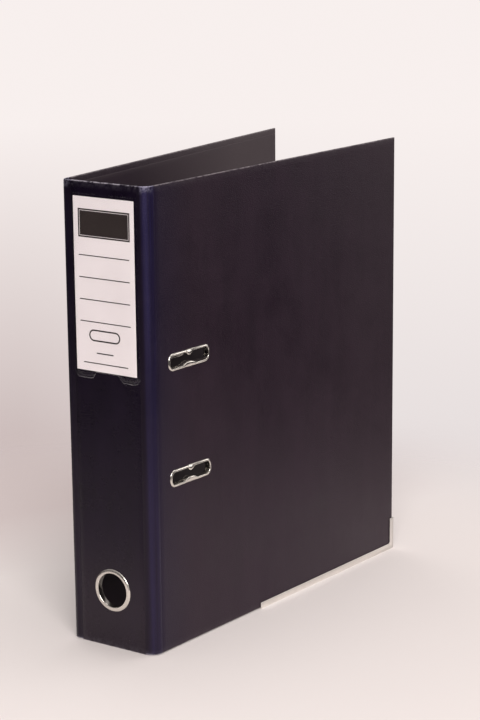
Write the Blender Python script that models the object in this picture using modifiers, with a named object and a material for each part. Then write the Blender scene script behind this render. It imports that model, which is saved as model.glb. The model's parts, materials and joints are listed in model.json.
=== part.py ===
"""A4 lever arch file: three covered boards on two bending hinge strips, the arch mechanism on the rear board.

World axes: +Z up, the spine faces -Y, the front cover is on +X. The origin is the middle of the spine's foot.
Each cover is built in its own axes: X is across its thickness, Y runs from the spine to the fore edge.
"""
import math

import bmesh
import bpy
from mathutils import Matrix, Vector

for old in list(bpy.data.objects):
    bpy.data.objects.remove(old, do_unlink=True)

MM = 0.001
GAP = 0.3 * MM

# case
HEIGHT = 320 * MM
COVER_WIDTH = 288 * MM
DEPTH = 70 * MM
BOARD = 2.0 * MM
LINING = 0.3 * MM
HINGE = 8.0 * MM  # from a virtual corner to where the boards on both its sides start
FRONT_BEND, REAR_BEND = 7.5 * MM, 4.0 * MM  # from a virtual corner to where the strip starts to curve
STRIP = 1.2 * MM
FRONT_SPLAY = math.radians(2.8)
REAR_SPLAY = math.radians(4.8)
SHOE_SHEET = 0.4 * MM
COVER_FOOT = SHOE_SHEET + GAP
SHOE_START = 118 * MM
SHOE_RISE = 4.5 * MM
SHOE_CORNER_RISE = 24.6 * MM
LINING_FOOT, LINING_TOP = 5.2 * MM, HEIGHT - 4.2 * MM
LINING_EDGE = COVER_WIDTH - 5.2 * MM

# metal-rimmed holes
RING_HEIGHT = 41 * MM
RING_BORE = 12 * MM
RING_FLANGE = 3.0 * MM
SLOT_FROM_SPINE = 41 * MM
SLOT_LENGTH = 40.4 * MM
SLOT_OPEN = 8.6 * MM
SLOT_CORNER = 3.4 * MM
SLOT_FLANGE = 1.8 * MM
TUBE_WALL = 0.5 * MM
BACKING = 0.4 * MM
NIB_DEPTH = 1.6 * MM
NIB_HALF = 4.5 * MM

# spine label
POCKET_HALF = 27 * MM
POCKET_FOOT = 187.5 * MM
POCKET_TOP = 312 * MM
POCKET_DEPTH = 1.2 * MM
FILM = 0.3 * MM
LABEL_HALF = 25 * MM
LABEL_FOOT, LABEL_TOP = 193 * MM, 310 * MM

# mechanism, in the rear cover's axes: X from the rear board's outer face, Y from the virtual corner
MIDDLE = 160 * MM
ARCH_SPACING = 80 * MM
SEAT = BOARD + LINING + 2 * GAP
PLATE = 1.0 * MM
PLATE_TOP = SEAT + PLATE
PLATE_NEAR, PLATE_FAR = 17 * MM, 66 * MM
PLATE_HALF = 72 * MM
PLATE_CORNER = 6 * MM
FOOTING = 0.4 * MM  # how far a raised ear or strap reaches into the plate it is formed from
CRANK_WINDOW = ((22 * MM, MIDDLE - 15.4 * MM), (42 * MM, MIDDLE + 15.4 * MM))
SPRING_WINDOW = ((21.4 * MM, MIDDLE + 18.4 * MM), (29.6 * MM, MIDDLE + 25.8 * MM))
WINDOW_CORNER = 2 * MM
WIRE = 1.8 * MM
ARCH_RADIUS = 15.5 * MM
ARCH_TOP = 65.3 * MM
AXIS_X, AXIS_Y = 7.0 * MM, SLOT_FROM_SPINE - ARCH_RADIUS
POST_Y = SLOT_FROM_SPINE + ARCH_RADIUS
BEND_X = ARCH_TOP - WIRE - ARCH_RADIUS
TIP_X = BEND_X - 3 * MM
CRANK = 12 * MM
CRANK_HALF = 13 * MM
WIRE_BEND = 2.6 * MM
POST_RADIUS = 2.1 * MM
COLLAR_RADIUS = 3.6 * MM
HEAD = 0.8 * MM
TIP_CONE = math.radians(60)
DISH = WIRE / math.tan(TIP_CONE)
DISH_REACH = 3 * MM
LEVER_X, LEVER_Y = AXIS_X + 16.0 * MM, AXIS_Y + CRANK - 2.73 * MM
ROLLER_ARM = 11.0 * MM
ROLLER_RADIUS = 3.6 * MM
ROLLER_BORE = 1.6 * MM
ROLLER_HALF = 8.0 * MM
PIN_RADIUS, PIN_HEAD = 1.5 * MM, 2.6 * MM
ROLLER_PIN_RADIUS, ROLLER_PIN_HEAD = 1.2 * MM, 2.1 * MM
LEVER_LEAN = math.radians(44)
LEVER_START, LEVER_REACH = -3 * MM, 40 * MM
LEVER_SHEET = 1.2 * MM
LEVER_LIFT, LEVER_DIP, LEVER_CURL = 3.6 * MM, 2.6 * MM, 2.5 * MM
TIP_HALF, TIP_ROUND = 7 * MM, 0.7 * MM
CHEEK_HALF = 9.5 * MM
CHEEK = 1.0 * MM
EAR_Z = 17.5 * MM
EAR = 1.2 * MM
EAR_HEAD = 4.2 * MM
EAR_NEAR, EAR_FAR = 5 * MM, 9 * MM
CHEEK_END = 2.9 * MM
CLIP_Z = 30 * MM
CLIP_LENGTH = 8 * MM
COIL_RADIUS = 2.9 * MM
COIL_WIRE = 0.6 * MM
COIL_START, COIL_END = 19.4 * MM, 24.9 * MM
COIL_TURNS = 4.5
RIVET_Y = (22 * MM, 61 * MM)
RIVET_Z = 63 * MM
RIVET_SHANK = 1.6 * MM
RIVET_HEAD, RIVET_INNER_HEAD = 4.2 * MM, 2.9 * MM
RIVET_DOME = 1.3 * MM
BAR_X = 5.6 * MM
BAR_SHEET = 1.0 * MM
BAR_HALF_WIDTH = 6.5 * MM
BAR_HALF_LENGTH = 58 * MM
BAR_LIP = 3.2 * MM
BAR_PLAY = 0.4 * MM

PARTS = bpy.data.collections.new("lever_arch_file")
GUIDES = bpy.data.collections.new("cutters")
bpy.context.scene.collection.children.link(PARTS)
bpy.context.scene.collection.children.link(GUIDES)

# (a, b, c) of a flat outline and its thickness, turned into a cover's or the spine's X, Y, Z
AS_DRAWN = Matrix.Identity(4)
COVER_PLANE = Matrix(((0, 0, 1, 0), (1, 0, 0, 0), (0, 1, 0, 0), (0, 0, 0, 1)))
SPINE_PLANE = Matrix(((1, 0, 0, 0), (0, 0, -1, 0), (0, 1, 0, 0), (0, 0, 0, 1)))


def material(name, color, roughness, metallic=0.0, alpha=1.0):
    mat = bpy.data.materials.new(name)
    mat.use_nodes = True
    shader = mat.node_tree.nodes["Principled BSDF"]
    shader.inputs["Base Color"].default_value = (*color, 1)
    shader.inputs["Roughness"].default_value = roughness
    shader.inputs["Metallic"].default_value = metallic
    shader.inputs["Alpha"].default_value = alpha
    return mat


LOOKS = {
    "cover": ((0.035, 0.026, 0.038), 0.45, 0.0),
    "hinge": ((0.040, 0.032, 0.065), 0.42, 0.0),
    "lining": ((0.050, 0.042, 0.050), 0.75, 0.0),
    "card": ((0.90, 0.89, 0.86), 0.65, 0.0),
    "nickel": ((0.78, 0.75, 0.70), 0.22, 1.0),
    "zinc": ((0.62, 0.62, 0.60), 0.38, 1.0),
    "spring": ((0.42, 0.42, 0.44), 0.35, 1.0),
}


def finish(obj, look, parent=None, at=(0, 0, 0), smooth=False):
    """Puts a mesh object in the parts collection with its own material, under its cover or pivot."""
    if obj.name not in PARTS.objects:
        PARTS.objects.link(obj)
    if look == "film":
        mat = material(obj.name, (0.85, 0.86, 0.90), 0.12, alpha=0.3)
    else:
        mat = material(obj.name, *LOOKS[look])
    obj.data.materials.clear()
    obj.data.materials.append(mat)
    if parent:
        obj.parent = parent
    obj.location = at
    for face in obj.data.polygons:
        face.use_smooth = smooth
    return obj


def mesh_object(name, mesh):
    """An object of that mesh with doubled points merged and its faces turned outwards."""
    work = bmesh.new()
    work.from_mesh(mesh)
    bmesh.ops.remove_doubles(work, verts=work.verts, dist=1e-6)
    bmesh.ops.recalc_face_normals(work, faces=work.faces)
    work.to_mesh(mesh)
    work.free()
    mesh.name = name
    return bpy.data.objects.new(name, mesh)


def solid_of_curve(name, curve, turn=AS_DRAWN):
    """The mesh of a curve, capped and closed, so that it can be cut."""
    holder = bpy.data.objects.new(name + "_curve", curve)
    PARTS.objects.link(holder)
    shaped = holder.evaluated_get(bpy.context.evaluated_depsgraph_get())
    mesh = bpy.data.meshes.new_from_object(shaped)
    bpy.data.objects.remove(holder, do_unlink=True)
    bpy.data.curves.remove(curve)
    mesh.transform(turn)
    return mesh_object(name, mesh)


def plate(name, loops, low, high, turn=AS_DRAWN):
    """A flat outline, its further loops holes, filled from low to high across its thickness."""
    curve = bpy.data.curves.new(name, "CURVE")
    curve.dimensions = "2D"
    curve.fill_mode = "BOTH"
    curve.extrude = (high - low) / 2
    for loop in loops:
        spline = curve.splines.new("POLY")
        spline.points.add(len(loop) - 1)
        spline.use_cyclic_u = True
        for point, (a, b) in zip(spline.points, loop):
            point.co = (a, b, 0, 1)
    return solid_of_curve(name, curve, turn @ Matrix.Translation((0, 0, (low + high) / 2)))


def wire(name, points, radius, sides=2):
    """A round wire along the points."""
    curve = bpy.data.curves.new(name, "CURVE")
    curve.dimensions = "3D"
    curve.bevel_depth = radius
    curve.bevel_resolution = sides
    curve.use_fill_caps = True
    spline = curve.splines.new("POLY")
    spline.points.add(len(points) - 1)
    for point, co in zip(spline.points, points):
        point.co = (*co, 1)
    return solid_of_curve(name, curve)


def turned(name, profile, steps=24):
    """A turned piece about local Z. The profile runs down its outer side, in (radius, height)."""
    mesh = bpy.data.meshes.new(name)
    closed = profile[0][0] > 0
    edges = [(i, i + 1) for i in range(len(profile) - 1)]
    if closed:
        edges.append((len(profile) - 1, 0))
    mesh.from_pydata([(r, 0, h) for r, h in profile], edges, [])
    obj = bpy.data.objects.new(name, mesh)
    screw = obj.modifiers.new("turn", "SCREW")
    screw.steps = screw.render_steps = steps
    screw.use_merge_vertices = True
    screw.merge_threshold = 1e-6
    return obj


def box_outline(low, high, corner=0.0, arc=4):
    """A rectangle from its low to its high corner, its corners rounded if a radius is given."""
    (a0, b0), (a1, b1) = low, high
    if not corner:
        return [(a0, b0), (a1, b0), (a1, b1), (a0, b1)]
    out = []
    centres = ((a1 - corner, b1 - corner), (a0 + corner, b1 - corner),
               (a0 + corner, b0 + corner), (a1 - corner, b0 + corner))
    for quarter, (a, b) in enumerate(centres):
        for i in range(arc + 1):
            t = math.pi / 2 * (quarter + i / arc)
            out.append((a + corner * math.cos(t), b + corner * math.sin(t)))
    return out


def circle(a, b, radius, steps=24):
    return [(a + radius * math.cos(2 * math.pi * i / steps), b + radius * math.sin(2 * math.pi * i / steps))
            for i in range(steps)]


def shift(loop, a, b):
    return [(p + a, q + b) for p, q in loop]


def cut(target, cutter, how="DIFFERENCE"):
    """Applies a Boolean to the target with a guide that isn't shown."""
    GUIDES.objects.link(cutter)
    cutter.hide_render = True
    cutter.display_type = "WIRE"
    cutter.parent = target.parent
    cutter.location = target.location
    change = target.modifiers.new(cutter.name, "BOOLEAN")
    change.operation = how
    change.solver = "EXACT"
    change.object = cutter


def slot_loop(grow, nib=0.0, nib_steps=8):
    """The slot's outline, centred and grown outwards, with a nib inwards in the middle of each long side."""
    half_a, half_b, corner = SLOT_LENGTH / 2 + grow, SLOT_OPEN / 2 + grow, SLOT_CORNER + grow
    loop = box_outline((-half_a, -half_b), (half_a, half_b), corner, arc=5)
    bump = []
    for i in range(nib_steps + 1):
        t = i / nib_steps
        bump.append((NIB_HALF * (1 - 2 * t), half_b - nib * math.sin(math.pi * t) ** 2))
    top, rest = loop[:6], loop[6:]
    left, bottom = rest[:12], rest[12:]
    under = [(-a, -b) for a, b in bump]
    return top + bump + left + under + bottom


def rim(name, loops, turn):
    """A ring lofted through loops of equal length, each at its own depth, and closed back onto the first."""
    count = len(loops[0][0])
    points = [turn @ Vector((a, b, depth)) for loop, depth in loops for a, b in loop]
    faces = []
    for i in range(len(loops)):
        here, after = i * count, (i + 1) % len(loops) * count
        for j in range(count):
            k = (j + 1) % count
            faces.append((here + j, here + k, after + k, after + j))
    mesh = bpy.data.meshes.new(name)
    mesh.from_pydata(points, [], faces)
    return mesh_object(name, mesh)


def bend_of(splay, bend):
    """Radius and turn of the arc from the spine's face to a cover's, and how far in its middle lies."""
    radius = bend * math.tan((math.pi / 2 + splay) / 2)
    turn = math.pi / 2 - splay
    inset = bend - radius * math.sin(turn / 2)
    rise = radius * (1 - math.cos(turn / 2))
    return radius, turn, inset, rise


SPINE_OUTER = -BOARD / 2


def cover_empty(name, side, splay, bend):
    """An empty on a cover's hinge axis, and where the cover's own zero corner is in the empty's axes."""
    _, _, inset, rise = bend_of(splay, bend)
    pivot = Vector((side * (DEPTH / 2 - inset), SPINE_OUTER + rise, 0))
    empty = bpy.data.objects.new(name, None)
    PARTS.objects.link(empty)
    empty.location = pivot
    angle = -side * splay
    empty.rotation_euler = (0, 0, angle)
    corner = Vector((side * DEPTH / 2, SPINE_OUTER, 0))
    return empty, Matrix.Rotation(-angle, 3, "Z") @ (corner - pivot)


front, front_zero = cover_empty("front_cover_hinge", 1, FRONT_SPLAY, FRONT_BEND)
rear, rear_zero = cover_empty("rear_cover_hinge", -1, REAR_SPLAY, REAR_BEND)

# rear cover axes put X inwards from its outer face; the front cover's depths are mirrored to negative X
SLOT_CENTRES = [(SLOT_FROM_SPINE, MIDDLE + s * ARCH_SPACING / 2) for s in (1, -1)]
RIVETS = [(y, MIDDLE + s * RIVET_Z) for y in RIVET_Y for s in (1, -1)]


def outward_side(low, high, side):
    """A depth span measured inwards from a cover's outer face, as X on the front (1) or rear (-1) cover."""
    return (-high, -low) if side > 0 else (low, high)


def cover_board(name, parent, zero, side, holes):
    outline = box_outline((HINGE, COVER_FOOT), (COVER_WIDTH, HEIGHT))
    low, high = outward_side(0, BOARD, side)
    finish(plate(name, [outline] + holes, low, high, COVER_PLANE), "cover", parent, zero)


def cover_lining(name, parent, zero, side, holes):
    outline = box_outline((HINGE + GAP, LINING_FOOT), (LINING_EDGE, LINING_TOP))
    low, high = outward_side(BOARD + GAP, BOARD + GAP + LINING, side)
    finish(plate(name, [outline] + holes, low, high, COVER_PLANE), "lining", parent, zero)


slot_holes = [shift(slot_loop(TUBE_WALL + GAP), a, b) for a, b in SLOT_CENTRES]
rivet_holes = [circle(a, b, RIVET_SHANK + GAP, 16) for a, b in RIVETS]
post_holes = [circle(POST_Y, z, WIRE + GAP, 16) for _, z in SLOT_CENTRES]
cover_board("front_board", front, front_zero, 1, slot_holes)
cover_board("rear_board", rear, rear_zero, -1, rivet_holes)
cover_lining("front_lining", front, front_zero, 1, slot_holes)
cover_lining("rear_lining", rear, rear_zero, -1, rivet_holes)

# spine
spine_half = DEPTH / 2 - HINGE
ring_hole = circle(0, RING_HEIGHT, RING_BORE + TUBE_WALL + GAP, 40)
finish(plate("spine_board", [box_outline((-spine_half, 0), (spine_half, HEIGHT)), ring_hole],
             -BOARD / 2, BOARD / 2, SPINE_PLANE), "cover")
spine_paper = box_outline((-spine_half + GAP, LINING_FOOT), (spine_half - GAP, LINING_TOP))
finish(plate("spine_lining", [spine_paper, ring_hole],
             -BOARD / 2 - GAP - LINING, -BOARD / 2 - GAP, SPINE_PLANE), "lining")


def hinge_strip(name, side, splay, bend, steps=10):
    """The bent band of covering between the spine board and a cover board, with a flat margin along each."""
    radius, turn, _, _ = bend_of(splay, bend)
    corner, centre = Vector((DEPTH / 2, SPINE_OUTER)), Vector((DEPTH / 2 - bend, SPINE_OUTER + radius))
    along, inwards = Vector((math.sin(splay), math.cos(splay))), Vector((-math.cos(splay), math.sin(splay)))
    faces = []
    for depth in (0, STRIP):
        face = [Vector((spine_half + GAP, SPINE_OUTER + depth))]
        for i in range(steps + 1):
            t = turn * i / steps
            face.append(centre + (radius - depth) * Vector((math.sin(t), -math.cos(t))))
        face.append(corner + along * (HINGE - GAP) + inwards * depth)
        faces.append([(side * p.x, p.y) for p in face])
    outer, inner = faces
    finish(plate(name, [outer + inner[::-1]], COVER_FOOT, HEIGHT), "hinge")


hinge_strip("front_hinge_strip", 1, FRONT_SPLAY, FRONT_BEND)
hinge_strip("rear_hinge_strip", -1, REAR_SPLAY, REAR_BEND)


def shoe(name, parent, zero, side):
    """A folded metal channel over a board's foot that turns up the fore edge."""
    reach = COVER_WIDTH + GAP + SHOE_SHEET
    outline = [(SHOE_START, 0), (reach, 0), (reach, SHOE_CORNER_RISE),
               (reach - SHOE_RISE, SHOE_CORNER_RISE), (reach - SHOE_RISE, SHOE_RISE), (SHOE_START, SHOE_RISE)]
    low, high = outward_side(-GAP - SHOE_SHEET, BOARD + GAP + SHOE_SHEET, side)
    obj = finish(plate(name, [outline], low, high, COVER_PLANE), "nickel", parent, zero)
    low, high = outward_side(-GAP, BOARD + GAP, side)
    beyond = 1 * MM
    room = box_outline((SHOE_START - beyond, SHOE_SHEET), (COVER_WIDTH + GAP, SHOE_CORNER_RISE + beyond))
    cut(obj, plate(name + "_room", [room], low, high, COVER_PLANE))


shoe("front_edge_shoe", front, front_zero, 1)
shoe("rear_edge_shoe", rear, rear_zero, -1)

# metal rims: an outer eyelet whose tube passes through the board, and a flat backing ring inside
INSIDE = BOARD + GAP + LINING + GAP


def eyelet_section(flange):
    """Growth and depth round an eyelet's section, from the tube's inner end to its outer end."""
    return [(0, INSIDE + BACKING), (0, -0.55 * MM), (0.3 * MM, -0.9 * MM), (flange * 0.6, -0.95 * MM),
            (flange, -0.6 * MM), (flange, -GAP), (TUBE_WALL, -GAP), (TUBE_WALL, INSIDE + BACKING)]


def backing_section(flange):
    inner = TUBE_WALL + GAP
    return [(inner, INSIDE), (flange, INSIDE), (flange, INSIDE + BACKING), (inner, INSIDE + BACKING)]


for label, (a, b) in zip(("upper", "lower"), SLOT_CENTRES):
    for name, section in ((f"{label}_slot_rim", eyelet_section(SLOT_FLANGE)),
                          (f"{label}_slot_backing", backing_section(SLOT_FLANGE + 0.8 * MM))):
        loops = []
        for grow, depth in section:
            pressed = NIB_DEPTH if grow <= TUBE_WALL + GAP else 0.0
            loops.append((shift(slot_loop(grow, pressed), a, b), -depth))
        finish(rim(name, loops, COVER_PLANE), "nickel", front, front_zero)

for name, section in (("finger_ring", eyelet_section(RING_FLANGE)),
                      ("finger_ring_backing", backing_section(RING_FLANGE + 1 * MM))):
    loops = [(circle(0, RING_HEIGHT, RING_BORE + grow, 40), BOARD / 2 - depth) for grow, depth in section]
    finish(rim(name, loops, SPINE_PLANE), "nickel", smooth=False)

# label and its clear pocket, closed at the foot and sides and open at the top
pocket_back = BOARD / 2 + GAP
pocket = finish(plate("label_pocket", [box_outline((-POCKET_HALF, POCKET_FOOT), (POCKET_HALF, POCKET_TOP))],
                      pocket_back, pocket_back + POCKET_DEPTH, SPINE_PLANE), "film")
pocket_room = box_outline((-POCKET_HALF + 2 * FILM, POCKET_FOOT + 3 * FILM),
                          (POCKET_HALF - 2 * FILM, POCKET_TOP + 2 * MM))
pocket_front = pocket_back + POCKET_DEPTH - FILM
cut(pocket, plate("pocket_room", [pocket_room], pocket_back - 1 * MM, pocket_front, SPINE_PLANE))
card_low = BOARD / 2 + 2 * GAP
finish(plate("spine_label", [box_outline((-LABEL_HALF, LABEL_FOOT), (LABEL_HALF, LABEL_TOP))],
             card_low, card_low + LINING, SPINE_PLANE), "card")

# base plate with its raised ears for the lever pin and the two straps over the arch's shaft
plate_loops = [box_outline((PLATE_NEAR, MIDDLE - PLATE_HALF), (PLATE_FAR, MIDDLE + PLATE_HALF), PLATE_CORNER),
               box_outline(*CRANK_WINDOW, WINDOW_CORNER), box_outline(*SPRING_WINDOW)]
base = plate("base_plate", plate_loops + rivet_holes + post_holes, SEAT, PLATE_TOP, COVER_PLANE)
finish(base, "nickel", rear, rear_zero)


def ear_outline():
    """An ear's outline in (X, Y): a foot on the plate narrowing to a round head about the pin."""
    out = [(PLATE_TOP - FOOTING, LEVER_Y - EAR_NEAR)]
    for degrees in range(-75, 76, 15):
        t = math.radians(degrees)
        out.append((LEVER_X + EAR_HEAD * math.cos(t), LEVER_Y + EAR_HEAD * math.sin(t)))
    out.append((PLATE_TOP - FOOTING, LEVER_Y + EAR_FAR))
    return out


def strap_outline():
    """A strap's outline in (X, Y): an arch over the shaft with both feet on the plate."""
    inner, outer = WIRE + GAP, WIRE + GAP + PLATE
    out = [(PLATE_TOP - FOOTING, AXIS_Y - outer)]
    half_turn = [math.radians(d) for d in range(-90, 91, 18)]
    out += [(AXIS_X + outer * math.cos(t), AXIS_Y + outer * math.sin(t)) for t in half_turn]
    out += [(PLATE_TOP - FOOTING, AXIS_Y + outer), (PLATE_TOP - FOOTING, AXIS_Y + inner)]
    out += [(AXIS_X + inner * math.cos(t), AXIS_Y + inner * math.sin(t)) for t in reversed(half_turn)]
    out += [(PLATE_TOP - FOOTING, AXIS_Y - inner)]
    return out


pin_hole = circle(LEVER_X, LEVER_Y, PIN_RADIUS + GAP, 20)
for label, side in (("upper", 1), ("lower", -1)):
    z = MIDDLE + side * EAR_Z
    cut(base, plate(f"{label}_ear", [ear_outline(), pin_hole], z - EAR / 2, z + EAR / 2), "UNION")
    z = MIDDLE + side * CLIP_Z
    cut(base, plate(f"{label}_strap", [strap_outline()], z - CLIP_LENGTH / 2, z + CLIP_LENGTH / 2), "UNION")

# fixed posts: a staked foot, a collar on the plate and a blunt cone that meets the arch's end
cone_rise = POST_RADIUS / math.tan(TIP_CONE)
post_top = TIP_X - GAP / math.sin(TIP_CONE)
for label, (_, z) in zip(("upper", "lower"), SLOT_CENTRES):
    collar = PLATE_TOP + GAP
    profile = [(0, post_top), (POST_RADIUS, post_top - cone_rise), (POST_RADIUS, collar + HEAD),
               (COLLAR_RADIUS, collar + HEAD), (COLLAR_RADIUS, collar),
               (WIRE, collar), (WIRE, SEAT), (0, SEAT)]
    post = finish(turned(f"{label}_post", profile, 20), "nickel", rear, smooth=False)
    post.location = rear_zero + Vector((0, POST_Y, z))
    post.rotation_euler = (0, math.pi / 2, 0)

# rivets: a domed head outside the rear board and a flat head on the plate
for i, (y, z) in enumerate(RIVETS, 1):
    under = PLATE_TOP + GAP
    profile = [(0, under + HEAD), (RIVET_INNER_HEAD, under + 0.75 * HEAD), (RIVET_INNER_HEAD, under),
               (RIVET_SHANK, under), (RIVET_SHANK, -GAP),
               (RIVET_HEAD, -GAP), (RIVET_HEAD * 0.55, -0.85 * RIVET_DOME), (0, -RIVET_DOME)]
    rivet = finish(turned(f"rivet_{i}", profile, 16), "nickel", rear, smooth=False)
    rivet.location = rear_zero + Vector((0, y, z))
    rivet.rotation_euler = (0, math.pi / 2, 0)

# arch: one wire with two arches, a shaft under the straps and a crank in the middle
arch_pivot = bpy.data.objects.new("arch_axis", None)
PARTS.objects.link(arch_pivot)
arch_pivot.parent = rear
arch_pivot.location = rear_zero + Vector((AXIS_X, AXIS_Y, MIDDLE))


def rounded_path(points, radius, steps=4):
    """The points with each inner corner replaced by an arc of the radius."""
    out = [Vector(points[0])]
    for before, corner, after in zip(points, points[1:], points[2:]):
        corner, to_a, to_b = Vector(corner), Vector(before) - Vector(corner), Vector(after) - Vector(corner)
        to_a.normalize()
        to_b.normalize()
        half = to_a.angle(to_b) / 2
        run = radius / math.tan(half)
        start, centre = corner + to_a * run, corner + (to_a + to_b).normalized() * (radius / math.sin(half))
        arm_a, arm_b = start - centre, corner + to_b * run - centre
        sweep = arm_a.angle(arm_b)
        for i in range(steps + 1):
            t = sweep * i / steps
            out.append(centre + (arm_a * math.sin(sweep - t) + arm_b * math.sin(t)) / math.sin(sweep))
    out.append(Vector(points[-1]))
    return out


def arch_path():
    """Half of the wire from the crank's middle to the upper arch's end, in the shaft's axes."""
    top, leg = BEND_X - AXIS_X, ARCH_SPACING / 2
    corners = [(0, CRANK, 0), (0, CRANK, CRANK_HALF), (0, 0, CRANK_HALF), (0, 0, leg), (top, 0, leg)]
    path = rounded_path(corners, WIRE_BEND)[:-1]
    for i in range(19):
        t = math.pi * i / 18
        path.append(Vector((top + ARCH_RADIUS * math.sin(t), ARCH_RADIUS * (1 - math.cos(t)), leg)))
    path.append(Vector((TIP_X - DISH - AXIS_X, 2 * ARCH_RADIUS, leg)))
    return path


half = arch_path()
other = [Vector((p.x, p.y, -p.z)) for p in half]
arch = finish(wire("arch_wire", other[::-1] + half[1:], WIRE), "nickel", arch_pivot, smooth=True)
for label, side in (("upper", 1), ("lower", -1)):
    cone_foot = -DISH_REACH / math.tan(TIP_CONE)
    cone = [(0, 0), (DISH_REACH, cone_foot), (DISH_REACH, -DISH_REACH), (0, -DISH_REACH)]
    dish = turned(f"{label}_tip_dish", cone, 16)
    cut(arch, dish)
    dish.location = (TIP_X - AXIS_X, 2 * ARCH_RADIUS, side * ARCH_SPACING / 2)
    dish.rotation_euler = (0, math.pi / 2, 0)

# torsion spring round the shaft, one end on the plate and the other under the crank
foot_x = PLATE_TOP + COIL_WIRE + GAP - AXIS_X
spring_path = [Vector((foot_x, -7 * MM, COIL_END)), Vector((foot_x, -4.4 * MM, COIL_END))]
coil_steps = int(COIL_TURNS * 16)
start_turn = math.radians(-100)
for i in range(coil_steps + 1):
    t = start_turn - 2 * math.pi * COIL_TURNS * i / coil_steps
    spring_path.append(Vector((COIL_RADIUS * math.cos(t), COIL_RADIUS * math.sin(t),
                               COIL_END + (COIL_START - COIL_END) * i / coil_steps)))
last = spring_path[-1]
spring_path += [last + Vector((-0.4 * MM, 0, -0.9 * MM)), Vector((-2.0 * MM, 2.7 * MM, 16.2 * MM)),
                Vector((-2.55 * MM, 2.9 * MM, 14.6 * MM)), Vector((-2.75 * MM, 3.4 * MM, 9.5 * MM))]
finish(wire("arch_spring", spring_path, COIL_WIRE, 1), "spring", arch_pivot, smooth=True)

# lever
lever_pivot = bpy.data.objects.new("lever_axis", None)
PARTS.objects.link(lever_pivot)
lever_pivot.parent = rear
lever_pivot.location = rear_zero + Vector((LEVER_X, LEVER_Y, MIDDLE))
ALONG = Vector((math.sin(LEVER_LEAN), -math.cos(LEVER_LEAN)))
ACROSS = Vector((math.cos(LEVER_LEAN), math.sin(LEVER_LEAN)))


def within(t):
    return min(1.0, max(0.0, t))


def lever_sheet(count=22):
    """The lever's sheet as stations along it: each its centre in (X, Y) and half its width."""
    stations = []
    for i in range(count + 1):
        t = i / count
        run = LEVER_START + (LEVER_REACH - LEVER_START) * t
        dip = LEVER_DIP * math.sin(math.pi * within((t - 0.15) / 0.7))
        lift = LEVER_LIFT - dip + LEVER_CURL * within((t - 0.8) / 0.2)
        half_width = CHEEK_HALF - (CHEEK_HALF - TIP_HALF) * within((t - 0.3) / 0.25)
        to_end = LEVER_REACH - run
        if to_end < TIP_HALF:
            round_off = math.sqrt(TIP_HALF ** 2 - (TIP_HALF - to_end) ** 2)
            half_width = round_off * (1 - TIP_ROUND / TIP_HALF) + TIP_ROUND
        stations.append((ALONG * run + ACROSS * lift, half_width))
    return stations


def lofted_sheet(name, stations, thick):
    points, faces = [], []
    for i, (centre, half_width) in enumerate(stations):
        before, after = stations[max(0, i - 1)][0], stations[min(len(stations) - 1, i + 1)][0]
        along = (after - before).normalized()
        normal = Vector((-along.y, along.x)) * (thick / 2)
        for z in (-half_width, half_width):
            for sign in (1, -1):
                p = centre + normal * sign
                points.append((p.x, p.y, z))
    for i in range(len(stations) - 1):
        a, b = 4 * i, 4 * (i + 1)
        for j, k in ((0, 1), (1, 3), (3, 2), (2, 0)):
            faces.append((a + j, a + k, b + k, b + j))
    end = 4 * (len(stations) - 1)
    faces += [(0, 2, 3, 1), (end, end + 1, end + 3, end + 2)]
    mesh = bpy.data.meshes.new(name)
    mesh.from_pydata(points, [], faces)
    return mesh_object(name, mesh)


lever = finish(lofted_sheet("lever", lever_sheet(), LEVER_SHEET), "nickel", lever_pivot, smooth=False)


def cheek_outline():
    """A cheek from the roller pin, round the lever pin and up under the sheet, in (X, Y)."""
    out = []
    for degrees in range(75, 286, 15):
        t = math.radians(degrees)
        out.append((-ROLLER_ARM + CHEEK_END * math.cos(t), CHEEK_END * math.sin(t)))
    for run, lift in ((2, -4.0), (10, -1.4), (19, 0.9), (10, 1.6), (2, 3.4), (-3, 3.4)):
        out.append(tuple((ALONG * run + ACROSS * lift) * MM))
    return out


holes = [circle(0, 0, PIN_RADIUS + GAP, 20), circle(-ROLLER_ARM, 0, ROLLER_PIN_RADIUS + GAP, 16)]
for label, side in (("upper", 1), ("lower", -1)):
    z = side * (CHEEK_HALF - CHEEK / 2)
    cut(lever, plate(f"{label}_cheek", [cheek_outline()] + holes, z - CHEEK / 2, z + CHEEK / 2), "UNION")


def headed_pin(name, half, radius, head_radius, parent, steps):
    """A round pin along Z with a flat head at each end."""
    end = half + HEAD
    profile = [(0, end), (head_radius, end), (head_radius, half), (radius, half),
               (radius, -half), (head_radius, -half), (head_radius, -end), (0, -end)]
    return finish(turned(name, profile, steps), "zinc", parent)


pin = headed_pin("lever_pin", EAR_Z + EAR / 2 + GAP, PIN_RADIUS, PIN_HEAD, rear, 20)
pin.location = rear_zero + Vector((LEVER_X, LEVER_Y, MIDDLE))
roller_pin = headed_pin("roller_pin", CHEEK_HALF + GAP, ROLLER_PIN_RADIUS, ROLLER_PIN_HEAD, lever_pivot, 16)
roller_pin.location = (-ROLLER_ARM, 0, 0)
roller = finish(turned("roller", [(ROLLER_RADIUS, ROLLER_HALF), (ROLLER_RADIUS, -ROLLER_HALF),
                                  (ROLLER_BORE, -ROLLER_HALF), (ROLLER_BORE, ROLLER_HALF)], 24),
                "zinc", lever_pivot)
roller.location = (-ROLLER_ARM, 0, 0)

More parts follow.
